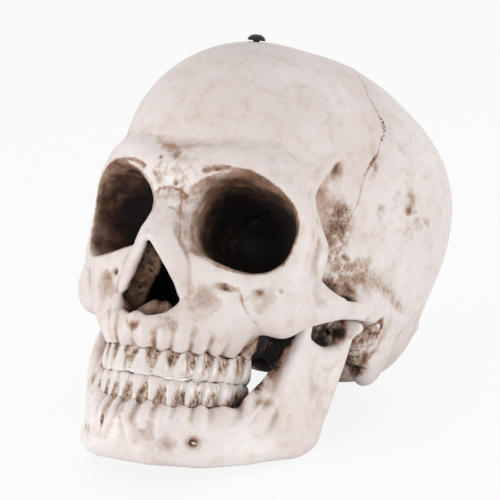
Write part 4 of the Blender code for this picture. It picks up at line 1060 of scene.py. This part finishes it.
def resin_with_wash_and_painted_shade():
    """Cast polyester resin, off-white and satin, with a brown wash wiped off its high places, painted highlights
    on its ridges, and painted shade in its cavities and closed-in places.
    """
    material, tree, shader = new_material("cast_resin_with_wash_and_painted_shade")
    place = add_node(tree, "ShaderNodeTexCoord").outputs["Object"]
    blotch = noise(tree, place, 7, 6, 0.68)
    stipple = noise(tree, place, 1.1, 3, 0.65)
    brown = maths(tree, "MULTIPLY", stored(tree, "wash"), rescaled(tree, blotch, 0.34, 0.66, 0.35, 1.45))
    dotted = maths(tree, "MULTIPLY", stored(tree, "pores"), rescaled(tree, stipple, 0.5, 0.64, 0, 0.42))

    # Sutures: a thin line that wanders off its path and breaks up
    swing = maths(tree, "MULTIPLY", maths(tree, "SUBTRACT", noise(tree, place, 2.2, 1), 0.5), 4)
    offset = maths(tree, "MULTIPLY_ADD", swing, stored(tree, "seam_zigzag"), stored(tree, "seam"))
    line = rescaled(tree, maths(tree, "ABSOLUTE", offset), 0.15, 0.5, 0.85, 0)
    drawn = maths(tree, "MULTIPLY", line, stored(tree, "seam_dark"))
    seams = maths(tree, "MULTIPLY", drawn, rescaled(tree, stipple, 0.35, 0.55, 0.45, 1))

    # The stain in all, with painted light and shade: wash caught in hollows, wiped off crests where it also paints
    # a highlight, drawn along sutures, and painted shade deep in cavities and closed-in places
    caught = maths(tree, "MULTIPLY_ADD", stored(tree, "hollow"), 0.11, dotted)
    stained = maths(tree, "ADD", brown, caught)
    wiped = maths(tree, "MULTIPLY_ADD", stored(tree, "crest"), -0.16, stained)
    lined = maths(tree, "ADD", wiped, seams)
    deep = maths(tree, "ADD", lined, stored(tree, "deep"), use_clamp=True)
    # The head is held at least a step darker than the jaw, as painted light on the jaw
    amount = maths(tree, "MAXIMUM", deep, stored(tree, "head_shade_step"))

    colour = coloured(tree, amount, WASH_STOPS)
    for value, stops in (
        (noise(tree, place, 45, 3), ((0.35, "#FFFFFF"), (0.5, "#F8F5F4"), (0.66, "#F3EDEA"))),
        (blotch, ((0.35, "#FFFFFF"), (0.52, "#FCFAF9"), (0.68, "#F1E8E1"))),
    ):
        both = {0: 1, 6: colour, 7: coloured(tree, value, stops)}
        colour = add_node(tree, "ShaderNodeMix", both, data_type="RGBA", blend_type="MULTIPLY").outputs[2]
    carved = maths(tree, "MULTIPLY_ADD", seams, -1.2, noise(tree, place, 0.7, 2))
    pitted = maths(tree, "MULTIPLY_ADD", dotted, -1.4, carved)
    wire_up(tree, shader, colour, rescaled(tree, amount, 0, 1, 0.42, 0.72), pitted, 0.35, 0.25)
    return material


def teeth_with_stain_and_painted_shade():
    """The same resin polished on the teeth, with stain at their necks and painted shade between them."""
    material, tree, shader = new_material("polished_tooth_resin")
    place = add_node(tree, "ShaderNodeTexCoord").outputs["Object"]
    tall = add_node(tree, "ShaderNodeMapping", {"Vector": place, "Scale": (1, 1, 0.3)}).outputs[0]
    streak = noise(tree, tall, 1.6, 4, 0.6)
    layer = stored(tree, "wash")
    brown = maths(tree, "MULTIPLY", layer, rescaled(tree, streak, 0.35, 0.65, 0.3, 1.5))
    specks = rescaled(tree, noise(tree, place, 0.9, 4, 0.6), 0.56, 0.64, 0, 0.3)
    speckled = maths(tree, "MULTIPLY_ADD", layer, specks, brown)
    wiped = maths(tree, "MULTIPLY_ADD", stored(tree, "crest"), -0.25, speckled)
    amount = maths(tree, "ADD", wiped, stored(tree, "deep"), use_clamp=True)
    colour = coloured(tree, amount, TOOTH_STOPS)
    wire_up(tree, shader, colour, rescaled(tree, amount, 0, 1, 0.26, 0.6), streak, 0.25, 0.2)
    return material


def drawn_steel(name, code, roughness, metallic):
    """Steel wire and screws: plain zinc plate, or blackened; fine scratches break up the shine."""
    material, tree, shader = new_material(name)
    place = add_node(tree, "ShaderNodeTexCoord").outputs["Object"]
    scratches = noise(tree, place, 0.5, 3)
    tint = coloured(tree, scratches, ((0.3, code), (0.75, "#6A665F" if metallic == 1 else "#2A2724")))
    gloss = rescaled(tree, scratches, 0, 1, roughness * 0.7, roughness * 1.3)
    shader.inputs["Metallic"].default_value = metallic
    wire_up(tree, shader, tint, gloss, scratches, 0.12, 0.05)
    return material


def add_tooth(name, tree, body, material):
    """A tooth with rounded faces, worn cusps, stain at its neck, and painted shade where its neighbours and the
    gum shade it.
    """
    mesh = worked(node_copy(name), ("SUBSURF", {"levels": 3, "render_levels": 3}))
    points, normals = closed_bite(mesh_points(mesh), name), mesh_normals(mesh)
    from_edge = biting_edge(points, name)[1]
    middle = points.mean(0)
    height = np.full(len(points), TOOTH_SWELL)
    height += lumpy(points, TOOTH_LUMPS)
    if "molar" in name:
        flat = points[:, :2] - middle[:2]
        cusps = np.cos(flat[:, 0] * CUSP_WAVE) * np.cos(flat[:, 1] * CUSP_WAVE)
        height += CUSP_HEIGHT * cusps * np.clip(1 - from_edge / 1.6, 0, 1)
    set_points(mesh, points + normals * height[:, None])
    points, normals = mesh_points(mesh), mesh_normals(mesh)
    closed = enclosure(points, normals, tree)
    away = points - middle
    outward = np.array((middle[0], middle[1] + ARCH_MIDDLE, 0))
    outward /= np.linalg.norm(outward)
    facing = (normals * outward).sum(1)
    flank = np.clip(1 - facing, 0, 1) * np.clip((away * outward).sum(1) / 2 + 0.7, 0, 1)
    neck = np.clip((from_edge - 4.5) / 4, 0, 1)
    between = flank * np.clip(from_edge / 3.5, 0, 1)
    # Painted shade on the flanks turned to the neighbouring teeth and where the tooth is closed in, and stain at
    # the neck
    store(mesh, "wash", np.clip(0.42 * between + 0.16 * neck + 0.25 * closed + 0.06, 0, 1.5))
    store(mesh, "deep", np.clip((closed - 0.5) / 0.4, 0, 0.5))
    store(mesh, "crest", np.clip((facing - 0.86) / 0.12, 0, 1) + np.clip(1 - from_edge / 1.4, 0, 1))
    shade_smooth(mesh)
    crown = name.replace("upper", "top").replace("lower", "bottom") + "_crown"
    return add_piece(crown, mesh, body, "tooth_resin", material, name)


def add_tooth_row(teeth, body, material):
    """The stained resin between and behind a row of teeth, which are moulded as one strip."""
    parts = [tooth_part(name, ROW_SHARE, 0, ROW_EDGE, ROW_DEPTH) for name in teeth]
    parts.sort(key=lambda part: math.atan2(part[0][:, 0].mean(), -part[0][:, 1].mean() - ARCH_MIDDLE))
    work = bmesh.new()
    for (first, _), (second, _) in zip(parts, parts[1:]):
        add_hull(work, np.concatenate([first, second]))
    mesh = worked(
        as_mesh(work, "row"),
        ("REMESH", {"mode": "VOXEL", "voxel_size": ROW_VOXEL, "use_smooth_shade": True}),
        ("SMOOTH", {"factor": 0.5, "iterations": 3}),
    )
    points, normals = mesh_points(mesh), mesh_normals(mesh)
    points = points + normals * lumpy(points, ROW_LUMPS)[:, None]
    set_points(mesh, points)
    places = np.array([(part.mean(0)[0], part.mean(0)[1], biting) for part, biting in parts])
    distance = ((points[:, None, :2] - places[None, :, :2]) ** 2).sum(2)
    depth = np.abs(points[:, 2] - places[distance.argmin(1), 2])
    store(mesh, "wash", 0.08 + 0.4 * smooth(depth, 2.2, 6.5) + 0.1 * cloud(points, 3, 23))
    specks = cloud(points, 1.1, 24) + 0.7 * cloud(points, 0.7, 25) + 0.2 * smooth(depth, 3, 9)
    store(mesh, "deep", 0.4 * smooth(specks, 0.72, 0.95))
    store(mesh, "crest", np.zeros(len(points)))
    return add_piece(f"{body}_tooth_row", mesh, body, "tooth_resin", material)


def on_side(place, sign):
    """A place or direction of the left side, laid over to the right where the sign is -1."""
    return Vector((sign * place[0], place[1], place[2]))


def spring_path(sign):
    """The wire's middle line: an eye round each screw and the coils between them."""
    top, top_axis = on_side(SPRING_TOP, sign), Vector((0, -1, 0))
    bottom, bottom_axis = on_side(SPRING_BOTTOM, sign), Vector((-sign, 0, 0))
    axis = (bottom - top).normalized()
    side = axis.cross(top_axis).normalized()
    other = axis.cross(side)
    start = top + axis * SPRING_GAP
    span = bottom - axis * SPRING_GAP - start
    places = []
    steps = int(COILS * COIL_STEPS)
    coil = []
    for step in range(steps + 1):
        angle = step * 2 * math.pi / COIL_STEPS
        turned = side * math.cos(angle) + other * math.sin(angle)
        coil.append(start + span * (step / steps) + COIL_RADIUS * turned)
    for centre, screw_axis, towards, order in ((top, top_axis, axis, 1), (bottom, bottom_axis, -axis, -1)):
        inward = (towards - screw_axis * towards.dot(screw_axis)).normalized()
        across = screw_axis.cross(inward)
        eye = []
        for step in range(COIL_STEPS + 1):
            angle = EYE_TURN * (1 - step / COIL_STEPS)
            eye.append(centre + EYE_RADIUS * (inward * math.cos(angle) + across * math.sin(angle)))
        places.append(eye[::order])
    return places[0] + coil + places[1]


def add_spring(side, sign, material):
    """A jaw spring of round wire, coiled between its two screws."""
    curve = bpy.data.curves.new(f"{side}_spring_wire", "CURVE")
    curve.dimensions = "3D"
    curve.bevel_depth = WIRE_RADIUS
    curve.bevel_resolution = 4
    curve.use_fill_caps = True
    line = curve.splines.new("POLY")
    places = spring_path(sign)
    line.points.add(len(places) - 1)
    for point, place in zip(line.points, places):
        point.co = (*place, 1)
    wire = new_object("wire", curve)
    graph = bpy.context.evaluated_depsgraph_get()
    mesh = bpy.data.meshes.new_from_object(wire.evaluated_get(graph))
    bpy.data.objects.remove(wire)
    shade_smooth(mesh)
    spring = add_piece(f"{side}_spring_wire", mesh, None, "steel", material, f"{side}_jaw_spring")
    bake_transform(spring)


def add_screw(node, body, slot, material, place, direction, head, dome, shank, length):
    """A turned screw with a domed head and a cross recess."""
    work = bmesh.new()
    outline = [(0, dome)]
    outline += [(head / 2 * math.sin(a), dome * math.cos(a)) for a in np.linspace(0, math.pi / 2, 9)[1:]]
    outline += [(head / 2 - 0.15, -UNDERCUT), (shank / 2, -UNDERCUT)]
    turn = 0
    while -UNDERCUT - turn * PITCH > -length + 0.6:
        low = -UNDERCUT - turn * PITCH
        outline += [(shank / 2, low - THREAD_TOP), (shank / 2 * ROOT_SHARE, low - THREAD_ROOT)]
        turn += 1
    outline += [(shank / 4, -length), (0, -length)]
    verts = [work.verts.new((x, 0, z)) for x, z in outline]
    edges = [work.edges.new(pair) for pair in zip(verts, verts[1:])]
    bmesh.ops.spin(
        work, geom=verts + edges, cent=(0, 0, 0), axis=(0, 0, 1),
        angle=2 * math.pi, steps=40, use_merge=True, dvec=(0, 0, 0),
    )
    bmesh.ops.remove_doubles(work, verts=work.verts, dist=MERGE)
    bmesh.ops.recalc_face_normals(work, faces=work.faces)
    mesh = as_mesh(work, node)
    cutter = bmesh.new()
    for angle in (0, math.pi / 2):
        made = bmesh.ops.create_cube(cutter, size=1)["verts"]
        size = Matrix.Diagonal((head * 0.55, head * 0.13, dome * 1.1, 1))
        placed = Matrix.Translation((0, 0, dome * 0.98)) @ Matrix.Rotation(angle, 4, "Z") @ size
        bmesh.ops.transform(cutter, matrix=placed, verts=made)
    tool = new_object("cross", as_mesh(cutter, "cross"))
    mesh = worked(
        mesh, ("BOOLEAN", {"object": tool, "operation": "DIFFERENCE", "solver": "EXACT", "use_self": True}),
    )
    bpy.data.objects.remove(tool)
    direction = Vector(direction)
    mesh.transform(Matrix.Translation(place) @ direction.to_track_quat("Z", "Y").to_matrix().to_4x4())
    shade_smooth(mesh)
    mesh.set_sharp_from_angle(angle=SHARP_EDGE)
    return add_piece(node.replace("screw", "turned_screw"), mesh, body, slot, material, node)


def add_stage(view):
    """A white table and surround; the table keeps the object's shadow."""
    work = bmesh.new()
    bmesh.ops.create_grid(work, x_segments=1, y_segments=1, size=FLOOR_SIZE)
    floor = new_object("table_top", as_mesh(work, "table_top"))
    floor.location.z = -FLOOR_DROP
    material, tree, shader = new_material("white_paper_sweep")
    shader.inputs["Base Color"].default_value = (1, 1, 1, 1)
    shader.inputs["Roughness"].default_value = 0.9
    light = add_node(tree, "ShaderNodeEmission", {"Color": (1, 1, 1, 1), "Strength": 1.0})
    rays = add_node(tree, "ShaderNodeLightPath")
    seen = maths(tree, "MULTIPLY", rays.outputs["Is Camera Ray"], FLOOR_GLOW)
    mixed = add_node(tree, "ShaderNodeMixShader", {0: seen, 1: shader.outputs[0], 2: light.outputs[0]})
    tree.links.new(mixed.outputs[0], tree.nodes["Material Output"].inputs["Surface"])
    floor.data.materials.append(material)

    world = bpy.data.worlds.new("studio")
    bpy.context.scene.world = world
    world.use_nodes = True
    tree = world.node_tree
    rays = add_node(tree, "ShaderNodeLightPath")
    direct = maths(tree, "MAXIMUM", rays.outputs["Is Camera Ray"], rays.outputs["Is Glossy Ray"])
    white = maths(tree, "MAXIMUM", direct, rays.outputs["Is Transmission Ray"])
    level = rescaled(tree, white, 0, 1, WORLD_LIGHT, 1)
    background = tree.nodes["Background"]
    background.inputs["Color"].default_value = (1, 1, 1, 1)
    tree.links.new(level, background.inputs["Strength"])
    for name, offset, size, energy in LAMPS:
        lamp = bpy.data.lights.new(name, "AREA")
        lamp.size = size
        lamp.energy = energy
        holder = new_object(name, lamp)
        place = view.to_3x3() @ Vector(offset) + LOOK_AT
        turned = (place - LOOK_AT).to_track_quat("Z", "Y").to_matrix().to_4x4()
        holder.matrix_world = Matrix.Translation(place) @ turned


def add_camera():
    """The camera of the photograph, placed from the head's frame."""
    back = Vector((
        math.sin(VIEW_TURN) * math.cos(VIEW_TILT), -math.cos(VIEW_TURN) * math.cos(VIEW_TILT), math.sin(VIEW_TILT),
    ))
    right = Vector((math.cos(VIEW_TURN), math.sin(VIEW_TURN), 0))
    up = back.cross(right)
    axes = Matrix((
        right * math.cos(VIEW_ROLL) + up * math.sin(VIEW_ROLL),
        up * math.cos(VIEW_ROLL) - right * math.sin(VIEW_ROLL),
        back,
    )).transposed()
    place = axes @ Vector((*VIEW_OFFSET, VIEW_DISTANCE))
    lens = bpy.data.cameras.new("photo_view")
    lens.sensor_width = SENSOR_MM
    lens.lens = VIEW_FOCUS * SENSOR_MM
    lens.clip_start = 0.05
    lens.clip_end = 20
    camera = new_object("photo_view", lens)
    turned = Matrix.Rotation(-LEAN, 3, "X") @ axes
    camera.matrix_world = Matrix.Translation(HEAD @ place) @ turned.to_4x4()
    bpy.context.scene.camera = camera
    return camera.matrix_world


view = add_camera()
add_stage(view)
bpy.context.scene.view_settings.view_transform = "Standard"

bodies = frame["record"]["behaviour"]["bodies"]
upper_teeth = [name for name in bodies["cranium"] if name.startswith("upper")]
lower_teeth = [name for name in bodies["mandible"] if name.startswith("lower")]
bone = resin_with_wash_and_painted_shade()
enamel = teeth_with_stain_and_painted_shade()
steel = drawn_steel("zinc_plated_spring_steel", "#A8A7A4", 0.32, 1)
black_steel = drawn_steel("blackened_screw_steel", "#1B1917", 0.45, 0.6)

for body, names, voxel, triangles, lines, spots, patches, teeth, rootward, sutures in (
    (
        "cranium", CASTINGS, CRANIUM_VOXEL, CRANIUM_TRIANGLES, CRANIUM_LINES, CRANIUM_SPOTS, CRANIUM_WASH_AND_SHADE,
        upper_teeth, 1, SUTURES,
    ),
    (
        "mandible", ("mandible",), MANDIBLE_VOXEL, MANDIBLE_TRIANGLES, MANDIBLE_LINES, MANDIBLE_SPOTS,
        MANDIBLE_WASH_AND_SHADE, lower_teeth, -1, (),
    ),
):
    mesh, skin = sculpt_bone(body, names, voxel, lines, spots, teeth, rootward, patches, sutures)
    mesh, tree = finish_bone(
        mesh, skin, teeth, triangles, patches, spots, sutures, tooth_roots(teeth, skin, rootward),
    )
    add_piece(f"{body}_bone", mesh, body, "bone_resin", bone, *names)
    for tooth in teeth:
        add_tooth(tooth, tree, body, enamel)
    add_tooth_row(teeth, body, enamel)

# Each screw: place and direction, then its head's breadth, its dome's height, its shank and its length
for side, sign in (("left", 1), ("right", -1)):
    add_spring(side, sign, steel)
    for end, body, place, direction in (
        ("cranium", "cranium", (39.0, -28.913, -20.5), (0, -1, 0)),
        ("jaw", "mandible", (39.157, -33.0, -45.0), (-1, 0, 0)),
    ):
        node = f"{side}_spring_screw_{end}"
        add_screw(node, body, "steel", steel, on_side(place, sign), on_side(direction, sign), 6, 2, 2.4, 7)
add_screw(
    "crown_screw", "cranium", "dark_steel", black_steel,
    Vector((0.017, -53.801, 106.649)), (0.0572, -0.3359, 0.9401), 8, 2.6, 3, 8,
)
